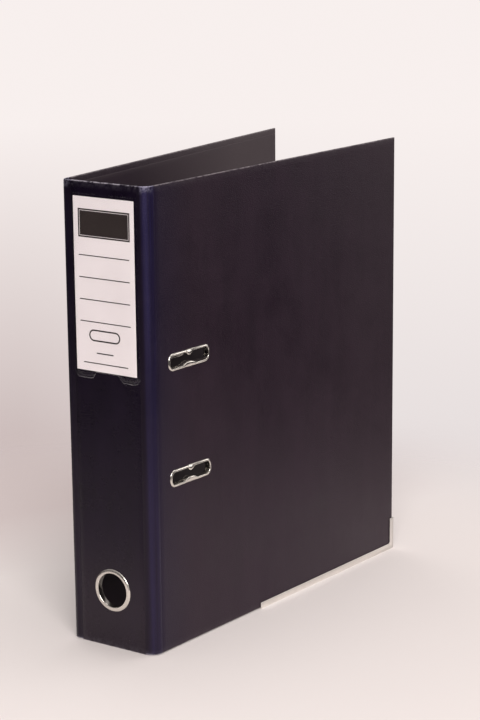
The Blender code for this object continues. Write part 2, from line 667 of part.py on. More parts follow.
# compressor: a lipped bar that slides on the posts
bar_zero = rear_zero + Vector((BAR_X, POST_Y, MIDDLE))
channel = [(0, -BAR_HALF_WIDTH), (BAR_LIP, -BAR_HALF_WIDTH), (BAR_LIP, -BAR_HALF_WIDTH + BAR_SHEET),
           (BAR_SHEET, -BAR_HALF_WIDTH + BAR_SHEET), (BAR_SHEET, BAR_HALF_WIDTH - BAR_SHEET),
           (BAR_LIP, BAR_HALF_WIDTH - BAR_SHEET), (BAR_LIP, BAR_HALF_WIDTH), (0, BAR_HALF_WIDTH)]
bar = finish(plate("compressor_bar", [channel], -BAR_HALF_LENGTH, BAR_HALF_LENGTH), "nickel", rear, bar_zero)
for label, side in (("upper", 1), ("lower", -1)):
    hole = circle(0, side * ARCH_SPACING / 2, POST_RADIUS + BAR_PLAY, 20)
    cut(bar, plate(f"{label}_bar_hole", [hole], -BAR_SHEET, 1.5 * BAR_SHEET, COVER_PLANE))
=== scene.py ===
"""Looks of the A4 lever arch file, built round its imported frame.

Every piece is made in the axes of the board that carries it: U runs from the spine's corner to
the fore edge (on the spine itself, across it), Q runs inwards from the board's outer face, and
Z is up.
"""

import json
from math import cos, exp, pi, radians, sin, sqrt, tan

import bmesh
import bpy
from mathutils import Matrix, Vector, noise


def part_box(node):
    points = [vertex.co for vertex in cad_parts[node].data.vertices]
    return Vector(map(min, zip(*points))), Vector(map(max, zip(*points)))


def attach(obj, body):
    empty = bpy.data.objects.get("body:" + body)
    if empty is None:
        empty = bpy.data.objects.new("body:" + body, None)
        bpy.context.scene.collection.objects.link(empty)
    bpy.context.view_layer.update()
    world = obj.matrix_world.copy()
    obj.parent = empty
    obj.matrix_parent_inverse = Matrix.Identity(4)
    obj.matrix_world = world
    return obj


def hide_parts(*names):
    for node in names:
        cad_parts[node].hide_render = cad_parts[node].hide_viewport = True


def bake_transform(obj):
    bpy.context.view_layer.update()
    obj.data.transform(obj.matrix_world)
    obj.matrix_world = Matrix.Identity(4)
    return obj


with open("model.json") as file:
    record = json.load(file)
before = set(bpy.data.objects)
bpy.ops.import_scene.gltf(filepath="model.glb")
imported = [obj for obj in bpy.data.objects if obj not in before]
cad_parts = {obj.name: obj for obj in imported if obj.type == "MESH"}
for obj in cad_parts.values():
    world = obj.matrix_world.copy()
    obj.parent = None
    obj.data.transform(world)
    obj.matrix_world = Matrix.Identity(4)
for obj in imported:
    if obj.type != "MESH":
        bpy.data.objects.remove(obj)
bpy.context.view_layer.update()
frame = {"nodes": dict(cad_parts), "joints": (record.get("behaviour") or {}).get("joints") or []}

MM = 0.001
JOINTS = {joint["name"]: joint for joint in frame["joints"]}
SPINE_LOW, SPINE_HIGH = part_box("spine_board")
BOARD = SPINE_HIGH.y - SPINE_LOW.y
SPINE_HALF = SPINE_HIGH.x
HINGE = 8 * MM  # from the virtual corner to where each board starts
GAP = 0.3 * MM


def mm(*values):
    """Millimetres as metres."""
    return [value * MM for value in values]


def offsets(a, b, pairs):
    """Points at the given millimetres from (a, b)."""
    return [(a + p * MM, b + q * MM) for p, q in pairs]


# ---------------- axes

def splay_of(joint):
    """The angle that a cover rests open at, which its hinge's closed limit takes out."""
    return radians(-JOINTS[joint]["range_deg"][0])


def cover_axes(side, joint):
    """A cover's U, Q, Z axes."""
    splay = splay_of(joint)
    along = (side * sin(splay), cos(splay), 0)
    inwards = (-side * cos(splay), sin(splay), 0)
    corner = (side * (SPINE_HALF + HINGE), SPINE_LOW.y, 0)
    axes = Matrix.Identity(4)
    for column, values in enumerate((along, inwards, (0, 0, 1), corner)):
        for row in range(3):
            axes[row][column] = values[row]
    return axes


SPINE = Matrix.Translation((0, SPINE_LOW.y, 0))
FRONT = cover_axes(1, "front_cover_hinge")
REAR = cover_axes(-1, "rear_cover_hinge")

# flat outlines are drawn as (a, b), with their thickness along c; these turn them into (U, Q, Z)
FACE_UZ = Matrix(((1, 0, 0, 0), (0, 0, 1, 0), (0, 1, 0, 0), (0, 0, 0, 1)))
FACE_QU = Matrix(((0, 1, 0, 0), (1, 0, 0, 0), (0, 0, 1, 0), (0, 0, 0, 1)))


def local_box(node, axes):
    """A CAD node's lowest and highest corner in the given axes."""
    inverse = axes.inverted()
    points = [inverse @ vertex.co for vertex in frame["nodes"][node].data.vertices]
    low = Vector([min(p[i] for p in points) for i in range(3)])
    high = Vector([max(p[i] for p in points) for i in range(3)])
    return low, high


def middle_of(node, axes):
    """The middle of a CAD node's box in the given axes."""
    low, high = local_box(node, axes)
    return (low + high) / 2


# ---------------- materials

class Nodes:
    """A node tree, with a short way to add each kind of node that the looks use."""

    def __init__(self, tree):
        self.tree = tree

    def feed(self, node, inputs):
        """Sets a node's inputs, each to a plain value or to another node's output."""
        for key, value in inputs.items():
            socket = node.inputs[key]
            if isinstance(value, bpy.types.NodeSocket):
                self.tree.links.new(value, socket)
            else:
                socket.default_value = value

    def add(self, kind, inputs=None, **settings):
        made = self.tree.nodes.new("ShaderNode" + kind)
        for key, value in settings.items():
            setattr(made, key, value)
        self.feed(made, inputs or {})
        return made

    def span(self, value, low, high, to_low=0.0, to_high=1.0, **settings):
        inputs = {"Value": value, "From Min": low, "From Max": high,
                  "To Min": to_low, "To Max": to_high}
        return self.add("MapRange", inputs, **settings).outputs["Result"]

    def times(self, a, b):
        return self.add("Math", {0: a, 1: b}, operation="MULTIPLY").outputs[0]

    def plus(self, a, b):
        return self.add("Math", {0: a, 1: b}, operation="ADD").outputs[0]

    def dot(self, vector, direction):
        inputs = {0: vector, 1: direction}
        return self.add("VectorMath", inputs, operation="DOT_PRODUCT").outputs["Value"]

    def mix(self, share, under, over):
        """Two colours, each fixed or from a node, mixed by share."""
        a, b = [end if isinstance(end, bpy.types.NodeSocket) else (*end, 1)
                for end in (under, over)]
        inputs = {"Factor": share, "A": a, "B": b}
        return self.add("Mix", inputs, data_type="RGBA").outputs["Result"]

    def mark(self, name):
        """A value from 0 to 1 stored on the mesh's points."""
        return self.add("Attribute", attribute_name=name).outputs["Fac"]


class Paint(Nodes):
    """A new material, whose patterns follow object coordinates and feed its Principled shader."""

    def __init__(self, name):
        self.material = bpy.data.materials.new(name)
        self.material.use_nodes = True
        super().__init__(self.material.node_tree)
        self.shader = self.tree.nodes["Principled BSDF"]
        self.coords = self.add("TexCoord").outputs["Object"]

    def noise(self, scale, detail=3.0, rough=0.5, stretch=None):
        coords = self.coords
        if stretch:
            coords = self.add("Mapping", {"Vector": coords, "Scale": stretch}).outputs["Vector"]
        inputs = {"Vector": coords, "Scale": scale, "Detail": detail, "Roughness": rough}
        return self.add("TexNoise", inputs).outputs["Fac"]

    def cells(self, scale, feature="F1"):
        inputs = {"Vector": self.coords, "Scale": scale}
        return self.add("TexVoronoi", inputs, feature=feature).outputs["Distance"]

    def done(self, colour, rough, bumps, others=None):
        """Wires up the shader. A bump is given as its height, its strength and its depth."""
        self.feed(self.shader, {"Base Color": colour, "Roughness": rough, **(others or {})})
        normal = {}
        for height, strength, depth in bumps:
            inputs = {"Height": height, "Strength": strength, "Distance": depth, **normal}
            normal = {"Normal": self.add("Bump", inputs).outputs["Normal"]}
        self.feed(self.shader, normal)
        return self.material


# darker and lighter ends of each paper's colour
COVER_COLOURS = (0.0090, 0.0026, 0.0084), (0.0150, 0.0056, 0.0134)
SPINE_COLOURS = (0.0022, 0.0008, 0.0050), (0.0050, 0.0022, 0.0098)
LINING_COLOURS = (0.0130, 0.0066, 0.0120), (0.0215, 0.0124, 0.0195)
# painted light: a pale tone towards the fore edges, and near the spine's foot a painted reflection
# of the floor
PAINTED_LIGHT = (0.070, 0.054, 0.058)
# painted shade: a dark bluish tone on the covers next to the hinge
HINGE_SHADE = (0.0050, 0.0024, 0.0160)
# painted highlight: a bluish sheen in streaks over the middle of the front hinge's bend
BEND_SHEEN = (0.0130, 0.0100, 0.0480)
SPECK = (0.55, 0.50, 0.47)
SHEEN = (1.0, 0.86, 0.97, 1.0)


def covering_paper(name, ends, pale_edge, gloss, specular, beyond=None):
    """Embossed covering paper: leather-like grain, soft mottling, and pale edge wear at the mark
    "edge", which on the top edges also paints the highlight where they catch the light.

    On a hinge band the mark "round" turns it into the pair of colours beyond, and the bend's mark
    brings in a painted highlight: a bluish sheen in streaks.
    """
    paint = Paint(name)
    mottle = paint.noise(26, 5, 0.62)
    cloud = paint.noise(7, 2)
    threads = paint.noise(95, 4, 0.6, (1, 1, 0.16))
    creases = paint.span(paint.cells(680, "DISTANCE_TO_EDGE"), 0.0, 0.22)
    fine = paint.noise(2400, 2)
    blotches = paint.plus(paint.times(mottle, 0.45), paint.times(cloud, 0.15))
    shade = paint.span(paint.plus(blotches, paint.times(threads, 0.40)), 0.39, 0.61)
    colour = paint.mix(shade, *ends)
    if beyond:
        colour = paint.mix(paint.mark("round"), colour, paint.mix(shade, *beyond))
        # painted highlight: a bluish sheen in streaks over the middle of the bend
        lines = paint.noise(1, 4, 0.62, (260, 260, 5))
        share = paint.times(paint.mark("bend_sheen"), paint.span(lines, 0.36, 0.66, 0.2, 1.05))
        colour = paint.mix(share, colour, BEND_SHEEN)
    lining = paint.mix(shade, *LINING_COLOURS)
    # painted shade next to the hinge, the lining's colour on the inner face, and painted light
    # towards the fore edge and near the spine's foot
    for mark, over in (("hinge_shade", HINGE_SHADE), ("inner", lining), ("painted_light", PAINTED_LIGHT)):
        colour = paint.mix(paint.mark(mark), colour, over)
    # pale edge wear in patches, which on the top edges also paints the highlight where they catch
    # the light
    edge_patches = paint.span(paint.noise(420, 4, 0.7), 0.40, 0.58)
    colour = paint.mix(paint.times(paint.mark("edge"), edge_patches), colour, pale_edge)
    colour = paint.mix(paint.span(paint.cells(19), 0.012, 0.017, 0.55, 0.0), colour, SPECK)
    rough = paint.plus(paint.span(mottle, 0.3, 0.7, *gloss), paint.times(fine, 0.06))
    bumps = ((mottle, 0.3, 0.5 * MM), (threads, 0.35, 0.12 * MM),
             (creases, 0.55, 0.09 * MM), (fine, 0.25, 0.03 * MM))
    others = {"Specular IOR Level": specular, "Specular Tint": SHEEN}
    return paint.done(colour, rough, bumps, others)


def endpaper(name, pale_edge):
    """Matt lining paper: pulp fibres and a faint press pattern."""
    paint = Paint(name)
    fibre = paint.noise(900, 4, 0.7, (1, 1, 2.5))
    cloud = paint.noise(18, 4)
    shade = paint.plus(paint.times(fibre, 0.4), paint.times(cloud, 0.6))
    colour = paint.mix(paint.span(shade, 0.35, 0.65), *LINING_COLOURS)
    # painted light: paler towards the fore edge
    colour = paint.mix(paint.mark("painted_light"), colour, PAINTED_LIGHT)
    colour = paint.mix(paint.times(paint.mark("edge"), paint.span(fibre, 0.35, 0.6)), colour, pale_edge)
    rough = paint.span(fibre, 0.3, 0.7, 0.52, 0.68)
    bumps = ((cloud, 0.4, 0.4 * MM), (fibre, 0.5, 0.06 * MM))
    return paint.done(colour, rough, bumps, {"Specular IOR Level": 0.4, "Specular Tint": SHEEN})


def card(name, tooth_scale, cloud_scale, cloud_span, ends, gloss, strength, depth):
    """Uncoated card, or the ink on it: a paper tooth, and a colour that varies by patches."""
    paint = Paint(name)
    tooth = paint.noise(tooth_scale)
    colour = paint.mix(paint.span(paint.noise(cloud_scale), *cloud_span), *ends)
    return paint.done(colour, paint.span(tooth, 0.3, 0.7, *gloss), [(tooth, strength, depth)])


def clear_film(name):
    """Clear PVC film, which mirrors far more at a glance than face on. Its edges are cloudy."""
    paint = Paint(name)
    haze = paint.noise(60, 4, 0.65, (1, 1, 0.4))
    glance = paint.add("LayerWeight", {"Blend": 0.5}).outputs["Facing"]
    steep = paint.add("Math", {0: glance, 1: 5.0}, operation="POWER").outputs[0]
    edge = paint.mark("edge")
    patches = paint.span(haze, 0.5, 0.8, 0.0, 0.010)
    clear = paint.plus(paint.span(steep, 0.0, 1.0, 0.006, 0.6), patches)
    alpha = paint.plus(clear, paint.times(edge, 0.22))
    colour = paint.mix(haze, (0.80, 0.80, 0.86), (0.95, 0.95, 0.98))
    rough = paint.plus(paint.span(haze, 0.3, 0.7, 0.05, 0.14), paint.times(edge, 0.3))
    return paint.done(colour, rough, [(haze, 0.25, 0.15 * MM)], {"Alpha": alpha, "Metallic": 1.0})


def metal(name, ends, gloss, brushed=(1, 1, 1)):
    """Plated steel: brushed or tumbled microscratches, dull patches and fine pits."""
    paint = Paint(name)
    scratches = paint.noise(1300, 4, 0.7, brushed)
    smudge = paint.noise(90, 4, 0.6)
    dull = paint.plus(paint.times(scratches, 0.4), paint.times(smudge, 0.6))
    bumps = ((smudge, 0.15, 0.05 * MM), (scratches, 0.12, 0.01 * MM))
    colour = paint.mix(paint.span(smudge, 0.3, 0.7), *ends)
    return paint.done(colour, paint.span(dull, 0.3, 0.7, *gloss), bumps, {"Metallic": 1.0})


LOOKS = {
    "cover": covering_paper("covering_paper", COVER_COLOURS,
                            (0.19, 0.165, 0.175), (0.36, 0.48), 0.38),
    "spine": covering_paper("spine_covering", SPINE_COLOURS,
                            (0.36, 0.33, 0.38), (0.21, 0.30), 0.28),
    "hinge": covering_paper("hinge_covering", SPINE_COLOURS,
                            (0.34, 0.32, 0.42), (0.26, 0.38), 0.34, COVER_COLOURS),
    "lining": endpaper("endpaper", (0.06, 0.048, 0.052)),
    "card": card("label_card", 1500, 30, (0.3, 0.7),
                 ((0.875, 0.800, 0.806), (0.925, 0.850, 0.856)), (0.58, 0.72), 0.3, 0.02 * MM),
    "ink": card("label_ink", 1700, 1700, (0.4, 0.75),
                ((0.016, 0.009, 0.008), (0.042, 0.030, 0.028)), (0.5, 0.65), 0.2, 0.01 * MM),
    "film": clear_film("clear_film"),
    "nickel": metal("nickel_plate", ((0.66, 0.625, 0.575), (0.80, 0.76, 0.70)), (0.14, 0.30)),
    "rail": metal("rail_steel", ((0.80, 0.77, 0.73), (0.90, 0.87, 0.83)), (0.28, 0.42),
                  (0.15, 0.15, 1.5)),
    "zinc": metal("zinc_steel", ((0.52, 0.52, 0.50), (0.66, 0.66, 0.63)), (0.28, 0.42)),
    "spring": metal("spring_steel", ((0.34, 0.34, 0.36), (0.44, 0.44, 0.46)), (0.26, 0.40)),
}


# ---------------- mesh tools

def placed(name, data):
    """A new object, put in the scene."""
    obj = bpy.data.objects.new(name, data)
    bpy.context.scene.collection.objects.link(obj)
    return obj


def mesh_of(name, points, faces):
    mesh = bpy.data.meshes.new(name)
    mesh.from_pydata(points, [], faces)
    return mesh


def tidy(mesh, merge=1e-6):
    """Merges doubled points, drops what collapsed and turns the faces outwards."""
    work = bmesh.new()
    work.from_mesh(mesh)
    bmesh.ops.remove_doubles(work, verts=work.verts, dist=merge)
    bmesh.ops.dissolve_degenerate(work, edges=work.edges, dist=merge / 10)
    loose = [vertex for vertex in work.verts if not vertex.link_faces]
    bmesh.ops.delete(work, geom=loose, context="VERTS")
    bmesh.ops.recalc_face_normals(work, faces=work.faces)
    work.to_mesh(mesh)
    work.free()
    return mesh


def baked(obj):
    """The object's mesh with its modifiers applied."""
    shaped = obj.evaluated_get(bpy.context.evaluated_depsgraph_get())
    return bpy.data.meshes.new_from_object(shaped)


def with_modifier(mesh, kind, **settings):
    """The mesh after one modifier."""
    holder = placed("holder", mesh)
    change = holder.modifiers.new(kind, kind)
    for key, value in settings.items():
        setattr(change, key, value)
    made = baked(holder)
    bpy.data.objects.remove(holder)
    return made


def carved(mesh, cutter):
    """The mesh with another cut out of it."""
    tool = placed("tool", cutter)
    made = with_modifier(mesh, "BOOLEAN", operation="DIFFERENCE", solver="EXACT", object=tool)
    bpy.data.objects.remove(tool)
    return made


def softened(mesh, width, angle):
    """The mesh with its edges rounded where they are sharper than the angle, in degrees."""
    return with_modifier(tidy(mesh), "BEVEL", width=width, segments=3, limit_method="ANGLE",
                         angle_limit=radians(angle), harden_normals=False, miter_outer="MITER_ARC")


def joined(*meshes):
    """Several meshes as one."""
    work = bmesh.new()
    for mesh in meshes:
        work.from_mesh(mesh)
    made = bpy.data.meshes.new(meshes[0].name)
    work.to_mesh(made)
    work.free()
    return made


def flat(name, loops, low, high, soft=0.0, turn=FACE_UZ):
    """A flat outline with holes, filled from low to high, its edges rounded by soft."""
    curve = bpy.data.curves.new(name, "CURVE")
    curve.dimensions = "2D"
    curve.fill_mode = "BOTH"
    curve.extrude = (high - low) / 2 - soft
    curve.bevel_depth = soft
    curve.bevel_resolution = 2
    curve.offset = -soft
    for loop in loops:
        spline = curve.splines.new("POLY")
        spline.points.add(len(loop) - 1)
        spline.use_cyclic_u = True
        for point, (a, b) in zip(spline.points, loop):
            point.co = (a, b, 0, 1)
    holder = placed(name, curve)
    mesh = baked(holder)
    bpy.data.objects.remove(holder)
    mesh.transform(turn @ Matrix.Translation((0, 0, (low + high) / 2)))
    return tidy(mesh)


def pierced(mesh, holes, low, high):
    """The mesh with each outline cut out of it between two depths."""
    for hole in holes:
        mesh = carved(mesh, flat("hole", [hole], low, high))
    return mesh


def box_loop(low, high, corner=0.0, steps=8):
    """A rectangle's outline, its corners rounded if a radius is given."""
    (a0, b0), (a1, b1) = low, high
    if not corner:
        return [(a0, b0), (a1, b0), (a1, b1), (a0, b1)]
    out = []
    centres = ((a1 - corner, b1 - corner), (a0 + corner, b1 - corner),
               (a0 + corner, b0 + corner), (a1 - corner, b0 + corner))
    for quarter, (a, b) in enumerate(centres):
        for i in range(steps + 1):
            t = pi / 2 * (quarter + i / steps)
            out.append((a + corner * cos(t), b + corner * sin(t)))
    return out


def ring_loop(a, b, radius, steps=32):
    return [(a + radius * cos(2 * pi * i / steps), b + radius * sin(2 * pi * i / steps))
            for i in range(steps)]


def arc(a, b, radius, angles):
    """Points round (a, b) at the given angles in degrees."""
    return [(a + radius * cos(t), b + radius * sin(t)) for t in map(radians, angles)]


def dome(radius, base, rise, steps):
    """A dome's profile from its rim to its top, as (radius, height)."""
    return [(radius * cos(t), base + rise * sin(t)) for t in
            (pi / 2 * k / steps for k in range(steps + 1))]


def shifted(loop, a, b):
    return [(p + a, q + b) for p, q in loop]


def skin(rings, count, closed=False):
    """Quads between each ring of points and the next, and from the last to the first if closed."""
    faces = []
    for k in range(rings if closed else rings - 1):
        here, after = k * count, (k + 1) % rings * count
        for i in range(count):
            j = (i + 1) % count
            faces.append((here + i, here + j, after + j, after + i))
    return faces


def ring_at(centre, side, other, radius, steps):
    """Points round a centre in the plane of two axes."""
    turns = [2 * pi * i / steps for i in range(steps)]
    return [centre + (side * cos(t) + other * sin(t)) * radius for t in turns]


def lathe(name, profile, centre, axis, steps=40):
    """A turned piece. Its profile is (radius, distance along the axis), from end to end."""
    axis = Vector(axis).normalized()
    side = axis.orthogonal().normalized()
    other = axis.cross(side)
    points = []
    for radius, height in profile:
        points += ring_at(Vector(centre) + axis * height, side, other, radius, steps)
    return tidy(mesh_of(name, points, skin(len(profile), steps, profile[0][0] > 0)))


def lofted_rim(name, loops):
    """A ring through loops of equal length, each at its own depth, closed back onto the first."""
    points = [FACE_UZ @ Vector((a, b, depth)) for loop, depth in loops for a, b in loop]
    return tidy(mesh_of(name, points, skin(len(loops), len(loops[0][0]), True)))


def sweep(name, path, radius, sides, dish=0.0):
    """A round wire along a path. A dish sinks the middle of each end."""
    points = []
    last = len(path) - 1
    ahead = (path[1] - path[0]).normalized()
    side = ahead.orthogonal().normalized()
    for i, centre in enumerate(path):
        ahead = (path[min(i + 1, last)] - path[max(i - 1, 0)]).normalized()
        side = (side - ahead * side.dot(ahead)).normalized()
        points += ring_at(centre, side, ahead.cross(side), radius, sides)
    faces = skin(len(path), sides)
    for end, beside in ((0, 1), (last, last - 1)):
        middle = len(points)
        points.append(path[end] + (path[beside] - path[end]).normalized() * dish)
        for k in range(sides):
            faces.append((middle, end * sides + k, end * sides + (k + 1) % sides))
    return tidy(mesh_of(name, points, faces))


def rounded(points, radius, steps=8):
    """The points with each inner corner replaced by an arc of the radius."""
    out = [Vector(points[0])]
    for before, corner, after in zip(points, points[1:], points[2:]):
        before, corner, after = map(Vector, (before, corner, after))
        to_a, to_b = [(end - corner).normalized() for end in (before, after)]
        half = to_a.angle(to_b) / 2
        start = corner + to_a * (radius / tan(half))
        end = corner + to_b * (radius / tan(half))
        centre = corner + (to_a + to_b).normalized() * (radius / sin(half))
        arm_a, arm_b = start - centre, end - centre
        turn = arm_a.angle(arm_b)
        for i in range(steps + 1):
            t = turn * i / steps
            out.append(centre + (arm_a * sin(turn - t) + arm_b * sin(t)) / sin(turn))
    out.append(Vector(points[-1]))
    return out


def stops(low, high, near, far, step):
    """Grid lines from low to high, crowded over the rounding at each end."""
    crowd = (0, 0.05, 0.18, 0.4, 0.7, 1)
    start = [low + near * c for c in crowd]
    end = [high - far * c for c in reversed(crowd)]
    count = max(1, round((end[0] - start[-1]) / step))
    middle = [start[-1] + (end[0] - start[-1]) * i / count for i in range(1, count)]
    return start + middle + end


def closed_grid(name, columns, rows, place):
    """A sheet closed round its rim, with place(u, z, face) for face 0 outside and 1 inside."""
    points = [place(u, z, face) for face in (0, 1) for u in columns for z in rows]
    wide, tall = len(columns), len(rows)
    size = wide * tall
    faces = []
    for i in range(wide - 1):
        for j in range(tall - 1):
            a = i * tall + j
            quad = (a, a + tall, a + tall + 1, a + 1)
            faces.append(quad)
            faces.append(tuple(k + size for k in reversed(quad)))
    border = [i * tall for i in range(wide)] + [(wide - 1) * tall + j for j in range(1, tall)]
    border += [i * tall + tall - 1 for i in range(wide - 2, -1, -1)] + list(range(tall - 2, 0, -1))
    for a, b in zip(border, border[1:] + border[:1]):
        faces.append((a, a + size, b + size, b))
    return tidy(mesh_of(name, points, faces), 2e-6)


def face_grid(name, low, high, radii, step, place):
    """A closed grid over a box, crowded over the rounding of its near, far, foot and top edges."""
    columns = stops(low.x, high.x, radii[0], radii[1], step)
    rows = stops(low.z, high.z, radii[2], radii[3], step)
    return closed_grid(name, columns, rows, place)


def ease(t):
    t = min(1.0, max(0.0, t))
    return t * t * (3 - 2 * t)


def roll(u, z, scale, seed):
    """Smooth noise from -1 to 1 over a face."""
    return noise.noise(Vector((u * scale, z * scale, seed)))


def edge_profile(share, power=2.6):
    """Half thickness, as a share, at that share of the edge rounding."""
    return (1 - (1 - min(1.0, max(0.0, share))) ** power) ** (1 / power)


def piece(name, mesh, look, body, nodes=(), axes=None, sharp=35):
    """Puts a mesh in the scene as a piece that rides on a body and stands for CAD nodes."""
    if axes:
        mesh.transform(axes)
    tidy(mesh)
    mesh.name = name
    obj = placed(name, mesh)
    mesh.materials.clear()
    mesh.materials.append(LOOKS[look])
    mesh.shade_smooth()
    mesh.set_sharp_from_angle(angle=radians(sharp))
    if body:
        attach(obj, body)
    if nodes:
        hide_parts(*nodes)
    return obj


def store(obj, marks):
    """Keeps a value for each point of the object's mesh under each mark's name."""
    for name, values in marks.items():
        obj.data.attributes.new(name, "FLOAT", "POINT").data.foreach_set("value", values)


def edge_gaps(u, z, low, high):
    """How far a point lies from the near, far, foot and top edges."""
    return u - low.x, high.x - u, z - low.z, high.z - z


def mark_wear_and_light(obj, axes, low, high, free, on_cover, reach=0.9 * MM):
    """Stores the marks of wear, painted light and painted shade on a board or lining.

    "edge" is how near a point lies to the free edges (near, far, foot, top), "inner" is 1 on the
    inner face, the painted-light mark paints light that grows towards the fore edge and, on the
    spine, the floor's reflection near its foot, and the hinge-shade mark paints shade by the hinge.
    """
    inverse = axes.inverted()
    marks = {"edge": [], "inner": [], "painted_light": [], "hinge_shade": []}
    for vertex in obj.data.vertices:
        u, q, z = inverse @ vertex.co
        nearest = min(gap for gap, pale_edge in zip(edge_gaps(u, z, low, high), free) if pale_edge)
        inner = ease((q - 0.6 * BOARD) / (0.3 * BOARD)) if on_cover else 0.0
        along = (u - low.x) / (high.x - low.x)
        hinge_shade = 0.0
        if inner:
            # painted light on the inner face, growing towards the fore edge
            brightened = (along - 0.25) / 0.55
        elif on_cover:
            # painted light on the outer face, growing towards the fore edge
            brightened = 0.4 * (along - 0.45)
            # painted shade on the outer face next to the hinge
            near, further = [1 - ease((u - low.x) / width) for width in mm(12, 42)]
            hinge_shade = max(0.9 * near, 0.55 * further)
        else:
            # painted reflection of the floor: brighter near the spine's foot
            brightened = 0.16 * (1 - ease((z - low.z - 20 * MM) / (70 * MM)))
        marks["edge"].append(ease(1 - nearest / reach))
        marks["inner"].append(inner)
        marks["painted_light"].append(min(1.0, max(0.0, brightened)))
        marks["hinge_shade"].append(hinge_shade)
    store(obj, marks)


# ---------------- covered boards and linings

EDGE = 0.75 * MM  # rounding of a wrapped edge
HINGE_EDGE = 0.12 * MM
LINING_EDGE = 0.25 * MM
WAVE = 0.07 * MM
PIERCE = 2 * MM  # how far a cutter stands out on each side
TURNED_IN = 11 * MM  # the covering's margin under the lining
LINING_BASE = BOARD + 0.02 * MM


def covered_board(name, node, axes, body, hinge_sides, look, holes, seed):
    """A board wrapped in covering: rounded free edges, flush hinge edges and a faint waviness."""
    low, high = local_box(node, axes)
    radii = [HINGE_EDGE if hinged else EDGE for hinged in hinge_sides] + [EDGE, EDGE]
    middle, half = (low.y + high.y) / 2, (high.y - low.y) / 2

    def place(u, z, face):
        gaps = edge_gaps(u, z, low, high)
        share = min(edge_profile(gap / radius) for gap, radius in zip(gaps, radii))
        still = min(ease(gap / (12 * MM)) for gap in gaps)
        wave = still * (roll(u, z, 24, seed) * WAVE + roll(u, z, 90, seed + 7) * WAVE * 0.35)
        return Vector((u, middle + half * share * (1 if face else -1) + wave, z))

    mesh = face_grid(name, low, high, radii, 4 * MM, place)
    mesh = pierced(mesh, holes, low.y - PIERCE, high.y + PIERCE)
    obj = piece(name, mesh, look, body, [node], axes)
    mark_wear_and_light(obj, axes, low, high, [not hinged for hinged in hinge_sides] + [True, True],
              not all(hinge_sides))


def lined_face(name, node, axes, body, holes, seed):
    """Lining paper on a board's inner face; the covering turned in under it shows as a low step."""
    low, high = local_box(node, axes)

    def place(u, z, face):
        gap = min(edge_gaps(u, z, low, high))
        step = 0.08 * MM * (1 - ease((gap - TURNED_IN) / (1.6 * MM)))
        wave = 0.05 * MM * (1 + roll(u, z, 30, seed))
        if not face:
            return Vector((u, LINING_BASE, z))
        rise = 0.12 * MM + step + wave
        return Vector((u, LINING_BASE + rise * edge_profile(gap / LINING_EDGE), z))

    mesh = face_grid(name, low, high, [LINING_EDGE] * 4, 3.2 * MM, place)
    mesh = pierced(mesh, holes, low.y - PIERCE, high.y + PIERCE)
    obj = piece(name, mesh, "lining", body, [node], axes)
    mark_wear_and_light(obj, axes, low, high, [True] * 4, body != "spine", 0.5 * MM)


# the slots in the front cover and the hole in the spine
TUBE_WALL, SLOT_FLANGE, RING_FLANGE, SLOT_CORNER, PLAY = mm(0.5, 1.8, 3.0, 3.4, 0.1)
UPPER_NIB, LOWER_NIB = mm(3.4, 2.3), mm(6.6, 2.1)  # half length and depth
SLOTS = {label: middle_of(f"{label}_slot_rim", FRONT) for label in ("upper", "lower")}
slot_low, slot_high = local_box("lower_slot_rim", FRONT)
SLOT_HALF_U = (slot_high.x - slot_low.x) / 2 - SLOT_FLANGE
SLOT_HALF_Z = (slot_high.z - slot_low.z) / 2 - SLOT_FLANGE
RING_LOW, RING_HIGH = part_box("finger_ring")
RING_HEIGHT = (RING_LOW.z + RING_HIGH.z) / 2
RING_BORE = (RING_HIGH.x - RING_LOW.x) / 2 - RING_FLANGE


def slot_loop(grow, share=0.0, steps=20):
    """A slot's outline, grown outwards, with a share of the nib amid each long side."""
    half_a, half_b, corner = SLOT_HALF_U + grow, SLOT_HALF_Z + grow, SLOT_CORNER + grow
    loop = box_loop((-half_a, -half_b), (half_a, half_b), corner)
    turns = [pi * i / steps for i in range(steps + 1)]
    above, below = [[(half * cos(t), half_b - depth * share * sin(t) ** 2) for t in turns]
                    for half, depth in (UPPER_NIB, LOWER_NIB)]
    quarter = len(loop) // 4
    below = [(-a, -b) for a, b in below]
    return loop[:quarter] + above + loop[quarter:3 * quarter] + below + loop[3 * quarter:]


slot_holes = [shifted(slot_loop(TUBE_WALL + PLAY), at.x, at.z) for at in SLOTS.values()]
RIVETS = [middle_of(f"rivet_{i}", REAR) for i in range(1, 5)]
rivet_holes = [ring_loop(at.x, at.z, 1.75 * MM, 24) for at in RIVETS]
ring_hole = ring_loop(0, RING_HEIGHT, RING_BORE + TUBE_WALL + PLAY, 64)

# each board's name, axes, body, which sides meet a hinge, look, holes, and the seeds of its
# covering and its lining
for board, axes, body, hinge_sides, look, holes, seed, lining_seed in (
        ("front", FRONT, "front_cover", (True, False), "cover", slot_holes, 1.3, 2.2),
        ("rear", REAR, "rear_cover", (True, False), "cover", rivet_holes, 4.1, 5.7),
        ("spine", SPINE, "spine", (True, True), "spine", [ring_hole], 8.6, 9.9)):
    covered_board(f"{board}_board_covered", f"{board}_board", axes, body, hinge_sides, look,
                  holes, seed)
    lined_face(f"{board}_endpaper", f"{board}_lining", axes, body, holes, lining_seed)


# ---------------- hinge bands

STRIP = 1.2 * MM


